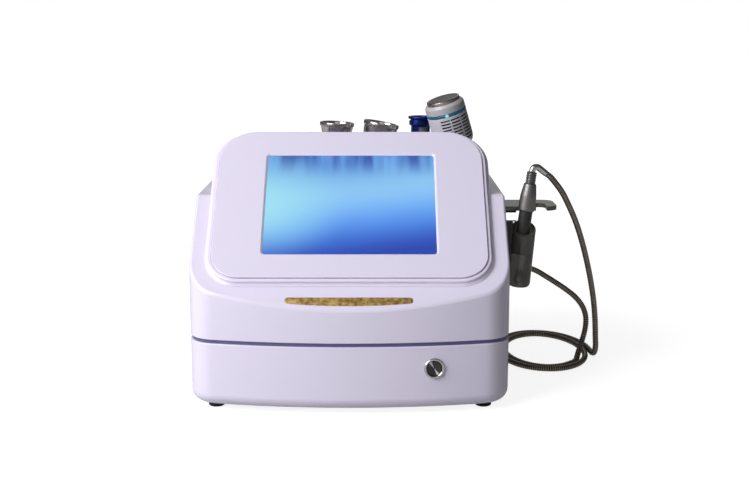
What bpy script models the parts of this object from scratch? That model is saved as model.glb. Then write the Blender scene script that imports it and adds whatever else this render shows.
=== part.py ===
# Vascular laser machine: a table-top laser unit with a sloped display, four treatment
# heads standing in its rear deck and a laser handpiece in a cup on its right side.
# Metres, +Z up. X runs to the right, Y from the front of the casing to its rear.

import math

import bmesh
import bpy
from mathutils import Matrix, Vector

# Fits
gap = 0.0003
overrun = 0.005
round_sides = 20
foot_sides = 12
small_sides = 8

# Casing in plan
body_half_width = 0.1565
body_depth = 0.300
front_arc_radius = 0.600
front_corner_radius = 0.031
rear_corner_radius = 0.026
wall = 0.003
front_arc_steps = 14
corner_steps = 7

# Casing heights
foot_height = 0.006
seam_low = 0.0688
seam_high = 0.0724
console_front_height = 0.105
console_slope = math.radians(42.06)
deck_height = 0.201
lower_fillet = 0.012
lower_fillet_steps = 3
upper_fillet = 0.003
upper_fillet_steps = 3
seam_inset = 0.0018
seam_lip = 0.0025

# Corner posts, feet and case screws
post_radius = 0.005
post_front_inset = 0.040
post_rear_inset = 0.030
post_side_inset = 0.0245
foot_radius = 0.008
foot_taper = 0.001
foot_edge = 0.0008
screw_radius = 0.0015
screw_clearance = 0.0004
screw_head_radius = 0.0029
screw_head_height = 0.002
screw_head_depth = 0.0025
screw_grip = 0.014

# Display, heights above the console plane and distances up the slope from the front edge
screen_width = 0.1707
screen_height = 0.1280
screen_low = 0.0633
glass_face = 0.0045
glass_thickness = 0.0017
glass_margin = 0.0097
bezel_face = 0.0065
bezel_seat = 0.0025
bezel_side_inset = 0.0217
bezel_half_width = body_half_width - bezel_side_inset
bezel_low = 0.0347
bezel_high = 0.2216
bezel_low_radius = 0.028
bezel_high_radius = 0.038
bezel_edge = 0.0008
window_bevel = 0.0015
window_radius = 0.003
bezel_gap = 0.0007
lcd_margin = 0.0066
lcd_thickness = 0.008
window_clearance = 0.0005
shell_window_margin = 0.006
shell_window_depth = 0.100
board_thickness = 0.0016
board_inset = 0.020

# Hood round the display
hood_face = 0.0047
hood_margin = 0.0042
hood_flare = 0.0028
hood_flare_low = 0.0006
hood_flare_share = 0.3
hood_wall = 0.0025
hood_back = 0.182
hood_depth = 0.110
hood_edge = 0.0012
outline_steps = 6

# Name plate
plate_half_length = 0.061
plate_height = 0.0095
plate_top = 0.0150
plate_end_radius = 0.0028
plate_thickness = 0.001
plate_recess = 0.0014
plate_steps = 10

# Chassis, power supply, laser engine and control board
chassis_thickness = 0.0015
chassis_inset = 0.0345
chassis_rear_inset = 0.028
chassis_lip = 0.001
chassis_level = 0.016
standoff_radius = 0.004
supply_width = 0.098
supply_length = 0.150
supply_height = 0.040
supply_side_inset = 0.0385
supply_rear_inset = 0.030
terminal_depth = 0.012
terminal_height = 0.018
sink_side_inset = 0.0185
sink_rear_inset = 0.046
sink_width = 0.080
sink_length = 0.088
sink_height = 0.070
sink_base = 0.008
sink_fins = 12
sink_fin = 0.0018
laser_inset = 0.004
laser_height = 0.034
port_radius = 0.004
port_height = 0.106
port_back = 0.034
board_width = 0.120
board_length = 0.044
board_shift = 0.013
board_clearance = 0.006
chip_height = 0.006
supply_left = supply_side_inset - body_half_width
supply_front = body_depth - supply_rear_inset - supply_length
board_left = supply_left + board_shift
board_front = supply_front - board_clearance - board_length
chassis_half_width = body_half_width - chassis_inset
chassis_front = board_front - chassis_lip
chassis_back = body_depth - chassis_rear_inset
sink_left = body_half_width - sink_side_inset - sink_width
sink_front = body_depth - sink_rear_inset - sink_length
port_place = sink_front + port_back

# Fan on the rear wall
fan_side = 0.080
fan_depth = 0.020
fan_bore = 0.0385
fan_blade_reach = 0.0368
fan_hub = 0.0165
fan_blades = 7
fan_blade_thickness = 0.0016
fan_blade_pitch = math.radians(42)
fan_pin = 0.0015
fan_side_inset = 0.0665
fan_x = body_half_width - fan_side_inset
fan_lift = 0.0045
fan_z = seam_high + fan_lift + fan_side / 2
fan_strut = 0.004
fan_back = 0.003
fan_screw_inset = 0.0045
grille_thickness = 0.002
grille_ring = 0.005
grille_slot = 0.0046
grille_rings = 4
grille_steps = 4

# Mains inlet with rocker switch in the rear of the base
inlet_side_inset = 0.0865
inlet_x = inlet_side_inset - body_half_width
inlet_z = 0.042
inlet_flange_width = 0.062
inlet_flange_height = 0.031
inlet_flange = 0.002
inlet_body_width = 0.052
inlet_body_height = 0.026
inlet_depth = 0.024
socket_width = 0.0245
socket_height = 0.0165
socket_depth = 0.016
socket_shift = -0.011
pin_size = (0.002, 0.012, 0.004)
pin_spread = 0.007
rocker_shift = 0.016
rocker_width = 0.012
rocker_height = 0.020
rocker_radius = 0.0135
rocker_proud = 0.0025
rocker_tilt = math.radians(8)
rocker_pivot_depth = 0.006

# Power button in the front of the base
button_side_inset = 0.075
button_x = body_half_width - button_side_inset
button_z = 0.047
button_ring_radius = 0.010
button_ring_height = 0.0018
button_cap_radius = 0.0074
button_dish = 0.0012
button_barrel = 0.008
button_barrel_length = 0.016
button_wall = 0.0014
button_travel = 0.0015
button_body_length = 0.014
button_nut_radius = 0.0115
button_nut_height = 0.003

# Wells in the rear deck, in rows between the hood and the rear wall
deck_rows = body_depth - hood_back
large_row_share = 0.449
blue_row_share = 0.559
hammer_row_share = 0.263
large_side_share = -0.133
small_side_share = 0.1284
blue_side_share = 0.4824
hammer_side_share = 0.794
well_wall = 0.0015
well_flange = 0.003
well_flange_height = 0.002
well_floor = 0.002

# Treatment heads: place of the axis at the deck, lean, then radii and heights along it
large_place = (large_side_share * body_half_width,
               hood_back + large_row_share * deck_rows)
large_lean = math.radians(3.5)
large_rim = 0.0190
large_rim_height = 0.0625
large_lip = 0.004
large_mouth = 0.0155
large_throat = 0.0120
large_neck = 0.0162
head_mouth_depth = 0.014
head_stem = 0.0115
head_well_depth = 0.058
head_stem_top = 0.020
head_lens_thickness = 0.0015
small_place = (small_side_share * body_half_width,
               hood_back + large_row_share * deck_rows)
small_lean = math.radians(11)
small_rim = 0.0196
small_rim_height = 0.0633
small_neck = 0.0182
small_mouth = 0.0160
small_throat = 0.0125

blue_place = (blue_side_share * body_half_width,
              hood_back + blue_row_share * deck_rows)
blue_top = 0.068
blue_flange = 0.0136
blue_ring = 0.0126
blue_groove = 0.0112
blue_tube = 0.0105
blue_core = 0.0085
blue_flange_height = 0.0025
blue_ring_drop = 0.0075
blue_window_low = 0.010
blue_window_half_width = 0.007
blue_lens_radius = 0.0095
blue_lens_depth = 0.002
blue_well_depth = 0.040

hammer_place = (hammer_side_share * body_half_width,
                hood_back + hammer_row_share * deck_rows)
hammer_lean = math.radians(-16.5)
hammer_nod = math.radians(7.5)
hammer_top = 0.0955
hammer_plate_radius = 0.0180
hammer_plate_height = 0.0035
hammer_cap_radius = 0.0215
hammer_cap_low = 0.0819
hammer_led_radius = 0.0217
hammer_led_low = 0.0787
hammer_radius = 0.0215
hammer_low = 0.0410
hammer_round = 0.0115
hammer_grip_radius = 0.013
hammer_well_depth = 0.022
hammer_sides = 32
vent_rows = 8
vent_columns = 8
vent_start = math.radians(-103)
vent_step = math.radians(31)
vent_pitch = 0.0034
vent_slot = (0.0032, 0.0102, 0.0015)
vent_top = 0.0747

# Holder plate and cup on the right side, measured from the wall at the cable's socket
holder_reach = 0.0565
holder_front = -0.080
holder_back = -0.030
holder_drop = 0.019
holder_level = deck_height - holder_drop
holder_thickness = 0.0045
holder_corner = 0.012
holder_slot_x = 0.0395
holder_slot_width = 0.011
holder_slot_depth = 0.024
bracket_leg = 0.0025
bracket_drop = 0.020
bracket_reach = 0.014
bracket_inset = 0.006

cup_place = (0.0150, -0.100, 0.107)
cup_lean = math.radians(4)
cup_top_radius = 0.0125
cup_low_radius = 0.0114
cup_length = 0.067
cup_round = 0.006
cup_bore = 0.0088
cup_bore_low = 0.0340
cup_mouth_drop = 0.014
cup_bracket_width = 0.010
cup_bracket_low = 0.012
cup_bracket_high = 0.068
cup_bracket_reach = 0.012

# Laser handpiece: tip of the axis, lean, then radii and heights along it
handpiece_tip = (0.0155, -0.100, 0.1420)
handpiece_lean = math.radians(7.5)
barrel_radius = 0.0068
barrel_tip_radius = 0.0055
cone_low = 0.0435
cone_radius = 0.0084
cone_top = 0.0715
cone_top_radius = 0.0062
collar_top = 0.0835
collar_radius = 0.0052
collar_grooves = 3
cord_radius = 0.00325
neck_route = ((0.02644, -0.1000, 0.22510), (0.02654, -0.1000, 0.22580),
              (0.02720, -0.0999, 0.2278), (0.02860, -0.0996, 0.2292), (0.03060, -0.0990, 0.2297),
              (0.03306, -0.0983, 0.22885), (0.03700, -0.0972, 0.2258),
              (0.04055, -0.0963, 0.2230))

# Armoured fibre cable. The lead falls from the handpiece, its loops lie beside the casing,
# and the riser climbs back to the socket on the right side.
lead_route = ((0.04078, -0.09624, 0.22282), (0.04580, -0.0949, 0.2189),
              (0.05180, -0.0910, 0.2120), (0.05810, -0.0855, 0.2040), (0.06490, -0.0792, 0.1928),
              (0.07580, -0.0700, 0.1709), (0.08500, -0.0590, 0.1478), (0.09290, -0.0470, 0.1241),
              (0.09990, -0.0350, 0.0999), (0.10570, -0.0240, 0.0753), (0.10980, -0.0140, 0.0506),
              (0.11250, -0.0045, 0.0290), (0.11390, 0.0005, 0.0190), (0.11450, 0.0070, 0.0110),
              (0.11450, 0.0150, 0.0058), (0.11410, 0.0252, 0.00345), (0.11350, 0.0317, 0.00335))
riser_route = ((0.08475, -0.01852, 0.00335), (0.08690, -0.01608, 0.00335),
               (0.08945, -0.01230, 0.0036), (0.09170, -0.0074, 0.0048),
               (0.09440, 0.0003, 0.0084), (0.09780, 0.0078, 0.0150),
               (0.10180, 0.0135, 0.0240), (0.10460, 0.0165, 0.0350), (0.10470, 0.0168, 0.0470),
               (0.10050, 0.0150, 0.0590), (0.09220, 0.0120, 0.0700), (0.08050, 0.0090, 0.0800),
               (0.06540, 0.0055, 0.0905), (0.05550, 0.0030, 0.0970), (0.04800, 0.0010, 0.1018),
               (0.04100, 0.0002, 0.1050), (0.03450, 0.0000, 0.1060), (0.02790, 0.0000, 0.1060))
cord_step = 0.0150
socket_flange = 0.009
socket_flange_height = 0.003
socket_barrel = 0.0055
socket_inner = 0.004
relief_length = 0.024
relief_radius = 0.0058
relief_end_radius = 0.0044

# Loops of the cable on the table: an oval with four reaches, drawn in by each turn
loop_turns = 1.86
loop_centre = (0.0585, 0.0320)
loop_right = 0.0550
loop_left = 0.0538
loop_back = 0.0870
loop_front = 0.0800
loop_draw = 0.0076
loop_points = 24


# Start from an empty scene
for old in list(bpy.data.objects):
    bpy.data.objects.remove(old)

parts = bpy.data.collections.new("vascular_laser_machine")
cutters = bpy.data.collections.new("cutters")
bpy.context.scene.collection.children.link(parts)
bpy.context.scene.collection.children.link(cutters)


def material(name, colour, roughness, metallic=0.0, alpha=1.0):
    made = bpy.data.materials.new(name)
    made.use_nodes = True
    shader = made.node_tree.nodes["Principled BSDF"]
    shader.inputs["Base Color"].default_value = (*colour, 1.0)
    shader.inputs["Roughness"].default_value = roughness
    shader.inputs["Metallic"].default_value = metallic
    shader.inputs["Alpha"].default_value = alpha
    return made


def empty(name, parent, location, rotation=(0, 0, 0)):
    made = bpy.data.objects.new(name, None)
    made.empty_display_size = wall
    made.parent = parent
    made.location = location
    made.rotation_euler = rotation
    parts.objects.link(made)
    return made


def place(name, bm, parent, look=None, location=(0, 0, 0), rotation=(0, 0, 0)):
    # A look makes the mesh a piece of the machine, none makes it a cutter. Triangles keep the
    # Booleans sound, because a many-sided face is never quite flat.
    bmesh.ops.triangulate(bm, faces=bm.faces)
    mesh = bpy.data.meshes.new(name)
    bm.to_mesh(mesh)
    bm.free()
    made = bpy.data.objects.new(name, mesh)
    made.parent = parent
    made.location = location
    made.rotation_euler = rotation
    if look:
        parts.objects.link(made)
        mesh.materials.append(look)
        mesh.shade_smooth()
        mesh.set_sharp_from_angle(angle=math.radians(35))
    else:
        cutters.objects.link(made)
        made.hide_render = True
        made.display_type = "WIRE"
    return made


def combine(target, tool, operation="DIFFERENCE"):
    step = target.modifiers.new(operation.lower(), "BOOLEAN")
    step.object = tool
    step.operation = operation
    step.solver = "EXACT"


def block(size, centre=(0, 0, 0), bm=None):
    bm = bm or bmesh.new()
    shape = Matrix.Translation(centre) @ Matrix.Diagonal((*size, 1))
    bmesh.ops.create_cube(bm, size=1, matrix=shape)
    return bm


def rod(radius, low, high, centre=(0, 0), sides=round_sides, top_radius=None, bm=None):
    # Upright cylinder or cone between two heights
    bm = bm or bmesh.new()
    shape = Matrix.Translation((*centre, (low + high) / 2))
    top = radius if top_radius is None else top_radius
    bmesh.ops.create_cone(bm, cap_ends=True, segments=sides, radius1=radius, radius2=top,
                          depth=high - low, matrix=shape)
    return bm


def prism(outline, low, high, bm=None):
    bm = bm or bmesh.new()
    ring = [bm.verts.new((x, y, low)) for x, y in outline]
    floor = bm.faces.new(ring)
    grown = bmesh.ops.extrude_face_region(bm, geom=[floor])
    raised = [item for item in grown["geom"] if isinstance(item, bmesh.types.BMVert)]
    bmesh.ops.translate(bm, verts=raised, vec=(0, 0, high - low))
    bmesh.ops.recalc_face_normals(bm, faces=bm.faces)
    return bm


def loft(*levels):
    # Closed skin through like outlines at rising heights
    bm = bmesh.new()
    rings = [[bm.verts.new((x, y, height)) for x, y in outline] for outline, height in levels]
    loops = [[bm.edges.new((ring[spot - 1], ring[spot])) for spot in range(len(ring))]
             for ring in rings]
    for first, second in zip(loops, loops[1:]):
        bmesh.ops.bridge_loops(bm, edges=first + second)
    bmesh.ops.contextual_create(bm, geom=loops[0])
    bmesh.ops.contextual_create(bm, geom=loops[-1])
    bmesh.ops.recalc_face_normals(bm, faces=bm.faces)
    return bm


def soften(bm, keep, radius, steps):
    # Rounds the sharp edges that the test accepts
    sharp = [edge for edge in bm.edges
             if edge.calc_face_angle(0) > math.radians(30) and keep(edge)]
    bmesh.ops.bevel(bm, geom=sharp, offset=radius, segments=steps, affect="EDGES",
                    profile=0.5, clamp_overlap=True)
    return bm


def edges_at(height):
    return lambda edge: all(abs(vert.co.z - height) < gap / 10 for vert in edge.verts)


def turned(name, profile, parent, look=None, sides=round_sides, ring=False,
           location=(0, 0, 0), rotation=(0, 0, 0)):
    # The profile runs down the outer side, as radius and height
    bm = bmesh.new()
    line = [bm.verts.new((radius, 0, height)) for radius, height in profile]
    pairs = list(zip(line, line[1:])) + ([(line[-1], line[0])] if ring else [])
    for first, second in pairs:
        bm.edges.new((first, second))
    made = place(name, bm, parent, look, location, rotation)
    spin = made.modifiers.new("turn", "SCREW")
    spin.axis = "Z"
    spin.steps = sides
    spin.render_steps = sides
    spin.use_merge_vertices = True
    spin.merge_threshold = 0.00001
    spin.use_smooth_shade = True
    return made


def arc(centre, radius, start, end, steps):
    angles = [start + (end - start) * step / steps for step in range(steps + 1)]
    return [(centre[0] + radius * math.cos(turn), centre[1] + radius * math.sin(turn))
            for turn in angles]


def rounded_box(half_width, low, high, low_radius, high_radius, steps=outline_steps):
    # Rectangle about the middle plane with its own radii below and above
    quarter = math.pi / 2
    low_x = half_width - low_radius
    high_x = half_width - high_radius
    return (arc((low_x, low + low_radius), low_radius, -quarter, 0, steps)
            + arc((high_x, high - high_radius), high_radius, 0, quarter, steps)
            + arc((-high_x, high - high_radius), high_radius, quarter, 2 * quarter, steps)
            + arc((-low_x, low + low_radius), low_radius, 2 * quarter, 3 * quarter, steps))


def plan_outline(inset):
    # Casing seen from above: bowed front, straight sides and rear, four round corners
    front_x = body_half_width - front_corner_radius
    reach = front_arc_radius - front_corner_radius
    front_y = front_arc_radius - math.sqrt(reach ** 2 - front_x ** 2)
    lean = math.asin(front_x / reach)
    rear_x = body_half_width - rear_corner_radius
    rear_y = body_depth - rear_corner_radius
    quarter = math.pi / 2
    front_inner = front_corner_radius - inset
    rear_inner = rear_corner_radius - inset
    bow = arc((0, front_arc_radius), front_arc_radius - inset, -quarter - lean,
              -quarter + lean, front_arc_steps)
    return (bow[1:-1]
            + arc((front_x, front_y), front_inner, -quarter + lean, 0, corner_steps)
            + arc((rear_x, rear_y), rear_inner, 0, quarter, corner_steps)
            + arc((-rear_x, rear_y), rear_inner, quarter, 2 * quarter, corner_steps)
            + arc((-front_x, front_y), front_inner, 2 * quarter, 3 * quarter - lean,
                  corner_steps))


def wedge(inset, low, high):
    # The casing's block, cut by the console plane, with an inset all round
    bm = prism(plan_outline(inset), low, high)
    normal = Vector((0, -math.sin(console_slope), math.cos(console_slope)))
    point = Vector((0, 0, console_front_height)) - normal * inset
    cut = bmesh.ops.bisect_plane(bm, geom=bm.verts[:] + bm.edges[:] + bm.faces[:],
                                 plane_co=point, plane_no=normal, clear_outer=True)
    rim = [item for item in cut["geom_cut"] if isinstance(item, bmesh.types.BMEdge)]
    bmesh.ops.contextual_create(bm, geom=rim)
    bmesh.ops.recalc_face_normals(bm, faces=bm.faces)
    return bm


# Materials
white_plastic = material("white_plastic", (0.80, 0.78, 0.86), 0.28)
seam_violet = material("seam_violet", (0.06, 0.05, 0.16), 0.5)
black_glass = material("black_glass", (0.05, 0.20, 0.60), 0.1)
lcd_metal = material("lcd_metal", (0.50, 0.51, 0.53), 0.4, 0.9)
board_green = material("board_green", (0.03, 0.22, 0.10), 0.5)
gold = material("gold", (0.62, 0.40, 0.12), 0.3, 1.0)
rubber = material("rubber", (0.03, 0.03, 0.03), 0.8)
steel = material("steel", (0.60, 0.60, 0.62), 0.3, 1.0)
dark_steel = material("dark_steel", (0.12, 0.12, 0.13), 0.3, 1.0)
black_metal = material("black_metal", (0.05, 0.05, 0.06), 0.4, 0.6)
black_plastic = material("black_plastic", (0.03, 0.03, 0.035), 0.45)
blue_metal = material("blue_metal", (0.02, 0.04, 0.30), 0.3, 1.0)
grey_plastic = material("grey_plastic", (0.62, 0.60, 0.62), 0.4)
teal_light = material("teal_light", (0.02, 0.35, 0.45), 0.3)
smoke = material("smoke", (0.05, 0.05, 0.055), 0.1, alpha=0.6)
grey_metal = material("grey_metal", (0.17, 0.17, 0.18), 0.35, 0.8)
cord_metal = material("cord_metal", (0.10, 0.09, 0.08), 0.35, 1.0)
lens = material("lens", (0.55, 0.65, 0.75), 0.05)

# Frames that the pieces are placed in. The outer one centres the part on its base.
rocker_top = rocker_pivot_depth + rocker_proud - rocker_height / 2 * math.sin(rocker_tilt)
rocker_reach = rocker_height / 2 - rocker_proud
rocker_rise = rocker_top * math.cos(rocker_tilt) + rocker_reach * math.sin(rocker_tilt)
rear_end = body_depth + gap + inlet_flange - rocker_pivot_depth + rocker_rise
assembly = empty("assembly", None,
                 (-holder_reach / 2, -rear_end / 2, 0))
side_frame = empty("side_frame", assembly, (body_half_width, port_place, 0))
slope_frame = empty("slope_frame", assembly, (0, 0, console_front_height),
                    (console_slope, 0, 0))

post_places = [(side * (body_half_width - post_side_inset), y)
               for side in (-1, 1) for y in (post_front_inset, body_depth - post_rear_inset)]


def base_shell():
    shell = place("base_shell", soften(prism(plan_outline(0), foot_height, seam_low),
                                       edges_at(foot_height), lower_fillet,
                                       lower_fillet_steps), assembly, white_plastic)
    hollow = prism(plan_outline(wall), foot_height + wall, seam_low + overrun)
    soften(hollow, edges_at(foot_height + wall), lower_fillet - wall, lower_fillet_steps)
    combine(shell, place("base_hollow", hollow, assembly))
    posts = bmesh.new()
    bores = bmesh.new()
    for spot in post_places:
        rod(post_radius, foot_height + wall / 2, seam_high - gap, spot, small_sides, bm=posts)
        rod(screw_radius + screw_clearance, -overrun, seam_high + overrun, spot,
            small_sides, bm=bores)
    combine(shell, place("base_posts", posts, assembly), "UNION")
    combine(shell, place("base_bores", bores, assembly))
    return shell


def seam_strip():
    strip = place("seam_strip", prism(plan_outline(seam_inset), seam_low + gap,
                                      seam_high - gap), assembly, seam_violet)
    combine(strip, place("seam_hollow", prism(plan_outline(wall + seam_lip), seam_low - overrun,
                                              seam_high + overrun), assembly))
    return strip


def top_shell():
    outer = soften(wedge(0, seam_high, deck_height),
                   lambda edge: max(vert.co.z for vert in edge.verts) > console_front_height / 2
                   + seam_high / 2 and abs(edge.verts[0].co.z - edge.verts[1].co.z)
                   < deck_height - console_front_height - overrun,
                   upper_fillet, upper_fillet_steps)
    shell = place("top_shell", outer, assembly, white_plastic)
    hollow = place("top_hollow", wedge(wall, seam_high - overrun, deck_height - wall), assembly)
    posts = bmesh.new()
    bores = bmesh.new()
    for spot in post_places:
        rod(post_radius, seam_high - 2 * overrun, deck_height + overrun, spot, small_sides,
            bm=posts)
        rod(screw_radius + screw_clearance, seam_high - overrun,
            seam_high + screw_grip + overrun, spot, small_sides, bm=bores)
    combine(hollow, place("top_posts", posts, assembly))
    combine(shell, hollow)
    combine(shell, place("top_bores", bores, assembly))
    window = rounded_box(screen_width / 2 + lcd_margin + shell_window_margin,
                         screen_low - lcd_margin - shell_window_margin,
                         screen_low + screen_height + lcd_margin + shell_window_margin,
                         window_radius, window_radius, 2)
    opening = place("shell_window", prism(window, -shell_window_depth, overrun), slope_frame)
    combine(opening, place("window_back", behind_plane(hood_back - 2 * hood_wall), assembly))
    combine(shell, opening)
    recess = prism(name_plate_outline(gap), -plate_recess, overrun)
    combine(shell, place("plate_recess", recess, slope_frame))
    return shell


def name_plate_outline(grow):
    # Straight along the top, bowed like the casing's front below, with round ends
    radius = plate_end_radius + grow
    end_x = plate_half_length - plate_end_radius
    sag = plate_half_length ** 2 / (2 * front_arc_radius)
    low_y = plate_top - plate_height
    outline = []
    for step in range(plate_steps + 1):
        x = end_x * (2 * step / plate_steps - 1)
        outline.append((x, low_y - grow + sag * (x / plate_half_length) ** 2))
    end_low = low_y + sag * (end_x / plate_half_length) ** 2 + plate_end_radius
    end_high = plate_top - plate_end_radius
    quarter = math.pi / 2
    outline += arc((end_x, end_low), radius, -quarter, 0, 3)[1:]
    outline += arc((end_x, end_high), radius, 0, quarter, 3)
    outline += arc((-end_x, end_high), radius, quarter, 2 * quarter, 3)
    outline += arc((-end_x, end_low), radius, 2 * quarter, 3 * quarter, 3)[:-1]
    return outline


def name_plate():
    low = gap - plate_recess
    bm = prism(name_plate_outline(0), low, low + plate_thickness)
    return place("name_plate", bm, slope_frame, gold)


def bezel_outline(grow):
    return rounded_box(bezel_half_width + grow, bezel_low - grow, bezel_high + grow,
                       bezel_low_radius + grow, bezel_high_radius + grow)


def screen_box(margin, radius=window_radius, steps=2):
    return rounded_box(screen_width / 2 + margin, screen_low - margin,
                       screen_low + screen_height + margin, radius, radius, steps)


def behind_plane(y):
    return block((4 * body_half_width, body_depth, 4 * deck_height),
                 (0, y + body_depth / 2, deck_height))


def screen_hood():
    # A block along the slope's normal, with a flared skirt, cut upright behind
    body = prism(bezel_outline(hood_margin), -hood_depth, hood_face)
    soften(body, edges_at(hood_face), hood_edge, 2)
    hood = place("screen_hood", body, slope_frame, white_plastic)
    flare_high = hood_face - hood_edge
    skirt = loft((bezel_outline(hood_margin + hood_flare), gap),
                 (bezel_outline(hood_margin + hood_flare), hood_flare_low),
                 (bezel_outline(hood_margin + hood_flare_share * hood_flare),
                  (hood_flare_low + flare_high) / 2),
                 (bezel_outline(hood_margin - gap), flare_high))
    combine(hood, place("hood_skirt", skirt, slope_frame), "UNION")
    combine(hood, place("hood_room", room_above(gap), assembly), "INTERSECT")
    inside = prism(bezel_outline(hood_margin - hood_wall), -hood_depth - overrun, -gap)
    inner = place("hood_inside", inside, slope_frame)
    combine(inner, place("hood_inner_back", behind_plane(hood_back - hood_wall), assembly))
    combine(hood, inner)
    seat = prism(bezel_outline(bezel_gap), bezel_seat, hood_face + overrun)
    combine(hood, place("bezel_seat", seat, slope_frame))
    window = prism(screen_box(lcd_margin + window_clearance), -overrun, bezel_seat + overrun)
    combine(hood, place("hood_window", window, slope_frame))
    return hood


def room_above(grow):
    # What lies above the console plane and the deck, and before the hood's upright rear
    run = (deck_height - console_front_height) / math.tan(console_slope)
    lift = grow / math.cos(console_slope)
    low = console_front_height + lift - body_depth * math.tan(console_slope)
    shoulder = run + (grow - lift) / math.tan(console_slope)
    side = [(-body_depth, low), (shoulder, deck_height + grow), (hood_back, deck_height + grow),
            (hood_back, 2 * deck_height), (-body_depth, 2 * deck_height)]
    bm = prism(side, -2 * body_half_width, 2 * body_half_width)
    # Stand the side view up: its x is the casing's y, its y the height
    bmesh.ops.transform(bm, matrix=Matrix(((0, 0, 1, 0), (1, 0, 0, 0), (0, 1, 0, 0),
                                           (0, 0, 0, 1))), verts=bm.verts)
    bmesh.ops.recalc_face_normals(bm, faces=bm.faces)
    return bm


def screen_bezel():
    body = prism(bezel_outline(0), bezel_seat + gap, bezel_face)
    soften(body, edges_at(bezel_face), bezel_edge, 2)
    bezel = place("screen_bezel", body, slope_frame, white_plastic)
    window = prism(screen_box(0), 0, bezel_face + overrun)
    combine(bezel, place("bezel_window", window, slope_frame))
    # The window's edge widens towards the front
    mouth = loft((screen_box(0), bezel_face - window_bevel),
                 (screen_box(2 * window_bevel, window_radius + 2 * window_bevel),
                  bezel_face + window_bevel))
    combine(bezel, place("bezel_mouth", mouth, slope_frame))
    pocket = prism(screen_box(glass_margin + gap, window_radius + gap), -overrun,
                   glass_face + gap)
    combine(bezel, place("glass_pocket", pocket, slope_frame))
    return bezel


def display_stack():
    glass = prism(screen_box(glass_margin), glass_face - glass_thickness, glass_face)
    place("touch_glass", glass, slope_frame, black_glass)
    lcd_face = glass_face - glass_thickness - gap
    lcd = prism(screen_box(lcd_margin), lcd_face - lcd_thickness, lcd_face)
    place("lcd_module", lcd, slope_frame, lcd_metal)
    board_face = lcd_face - lcd_thickness - gap
    centre_y = screen_low + screen_height / 2
    board = block((screen_width - 2 * board_inset, screen_height - 2 * board_inset,
                   board_thickness), (0, centre_y, board_face - board_thickness / 2))
    driver = place("display_board", board, slope_frame, board_green)
    chips = bmesh.new()
    for share in (-0.30, 0.0, 0.30):
        block((board_inset, board_inset, 3 * board_thickness),
              (share * screen_width, centre_y, board_face - 2 * board_thickness), bm=chips)
    combine(driver, place("display_chips", chips, slope_frame), "UNION")


def feet_and_screws():
    # Each foot is held by the long screw that joins the two shells at its corner
    head_high = screw_head_depth + screw_head_height
    bore = screw_radius + screw_clearance
    head_bore = screw_head_radius + gap
    foot_top = foot_height - gap
    foot = [(foot_radius, foot_top), (foot_radius, foot_edge), (foot_radius - foot_taper, 0),
            (head_bore, 0), (head_bore, head_high + gap), (bore, head_high + gap),
            (bore, foot_top)]
    screw = [(0, seam_high + screw_grip), (screw_radius, seam_high + screw_grip),
             (screw_radius, head_high), (screw_head_radius, head_high),
             (screw_head_radius, screw_head_depth), (0, screw_head_depth)]
    for number, (x, y) in enumerate(post_places, 1):
        turned(f"rubber_foot_{number}", foot, assembly, rubber, foot_sides, True, (x, y, 0))
        turned(f"case_screw_{number}", screw, assembly, steel, small_sides,
               location=(x, y, 0))


def chassis():
    level = chassis_level
    middle = (chassis_front + chassis_back) / 2
    plate = place("chassis_plate", block((2 * chassis_half_width, chassis_back - chassis_front,
                                          chassis_thickness),
                                         (0, middle, level + chassis_thickness / 2)),
                  assembly, lcd_metal)
    legs = bmesh.new()
    for x in (-1, 1):
        for y in (chassis_front + 2 * standoff_radius, chassis_back - 2 * standoff_radius):
            spot = (x * (chassis_half_width - 2 * standoff_radius), y)
            rod(standoff_radius, foot_height + wall + gap, level + chassis_thickness / 2, spot,
                small_sides, bm=legs)
    combine(plate, place("chassis_legs", legs, assembly), "UNION")


def power_supply():
    low = chassis_level + chassis_thickness + gap
    centre_x = supply_left + supply_width / 2
    box = block((supply_width, supply_length, supply_height),
                (centre_x, supply_front + supply_length / 2, low + supply_height / 2))
    case = place("power_supply", box, assembly, lcd_metal)
    # A step at the front carries the screw terminals, and slots let the heat out on top
    step = block((supply_width - 2 * wall, 2 * terminal_depth, supply_height),
                 (centre_x, supply_front, low + terminal_height + supply_height / 2))
    combine(case, place("supply_step", step, assembly))
    slots = bmesh.new()
    columns = 8
    pitch = supply_width / (columns + 1)
    for column in range(1, columns + 1):
        block((pitch / 2, supply_length / 2, 2 * wall),
              (supply_left + column * pitch, supply_front + supply_length / 2 + terminal_depth / 2,
               low + supply_height), bm=slots)
    combine(case, place("supply_slots", slots, assembly))


def heat_sink():
    # Comb outline, fins down, drawn in x and z and run along y
    low = chassis_level + chassis_thickness + gap
    high = low + sink_height
    root = high - sink_base
    outline = [(sink_left, high), (sink_left, low)]
    pitch = (sink_width - sink_fin) / (sink_fins - 1)
    for fin in range(sink_fins - 1):
        left = sink_left + fin * pitch + sink_fin
        right = left + pitch - sink_fin
        outline += [(left, low), (left, root), (right, root), (right, low)]
    outline += [(sink_left + sink_width, low), (sink_left + sink_width, high)]
    bm = prism(outline, 0, sink_length)
    upright = Matrix(((1, 0, 0, 0), (0, 0, 1, sink_front), (0, 1, 0, 0), (0, 0, 0, 1)))
    bmesh.ops.transform(bm, matrix=upright, verts=bm.verts)
    bmesh.ops.recalc_face_normals(bm, faces=bm.faces)
    place("heat_sink", bm, assembly, steel)
    return high


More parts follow.
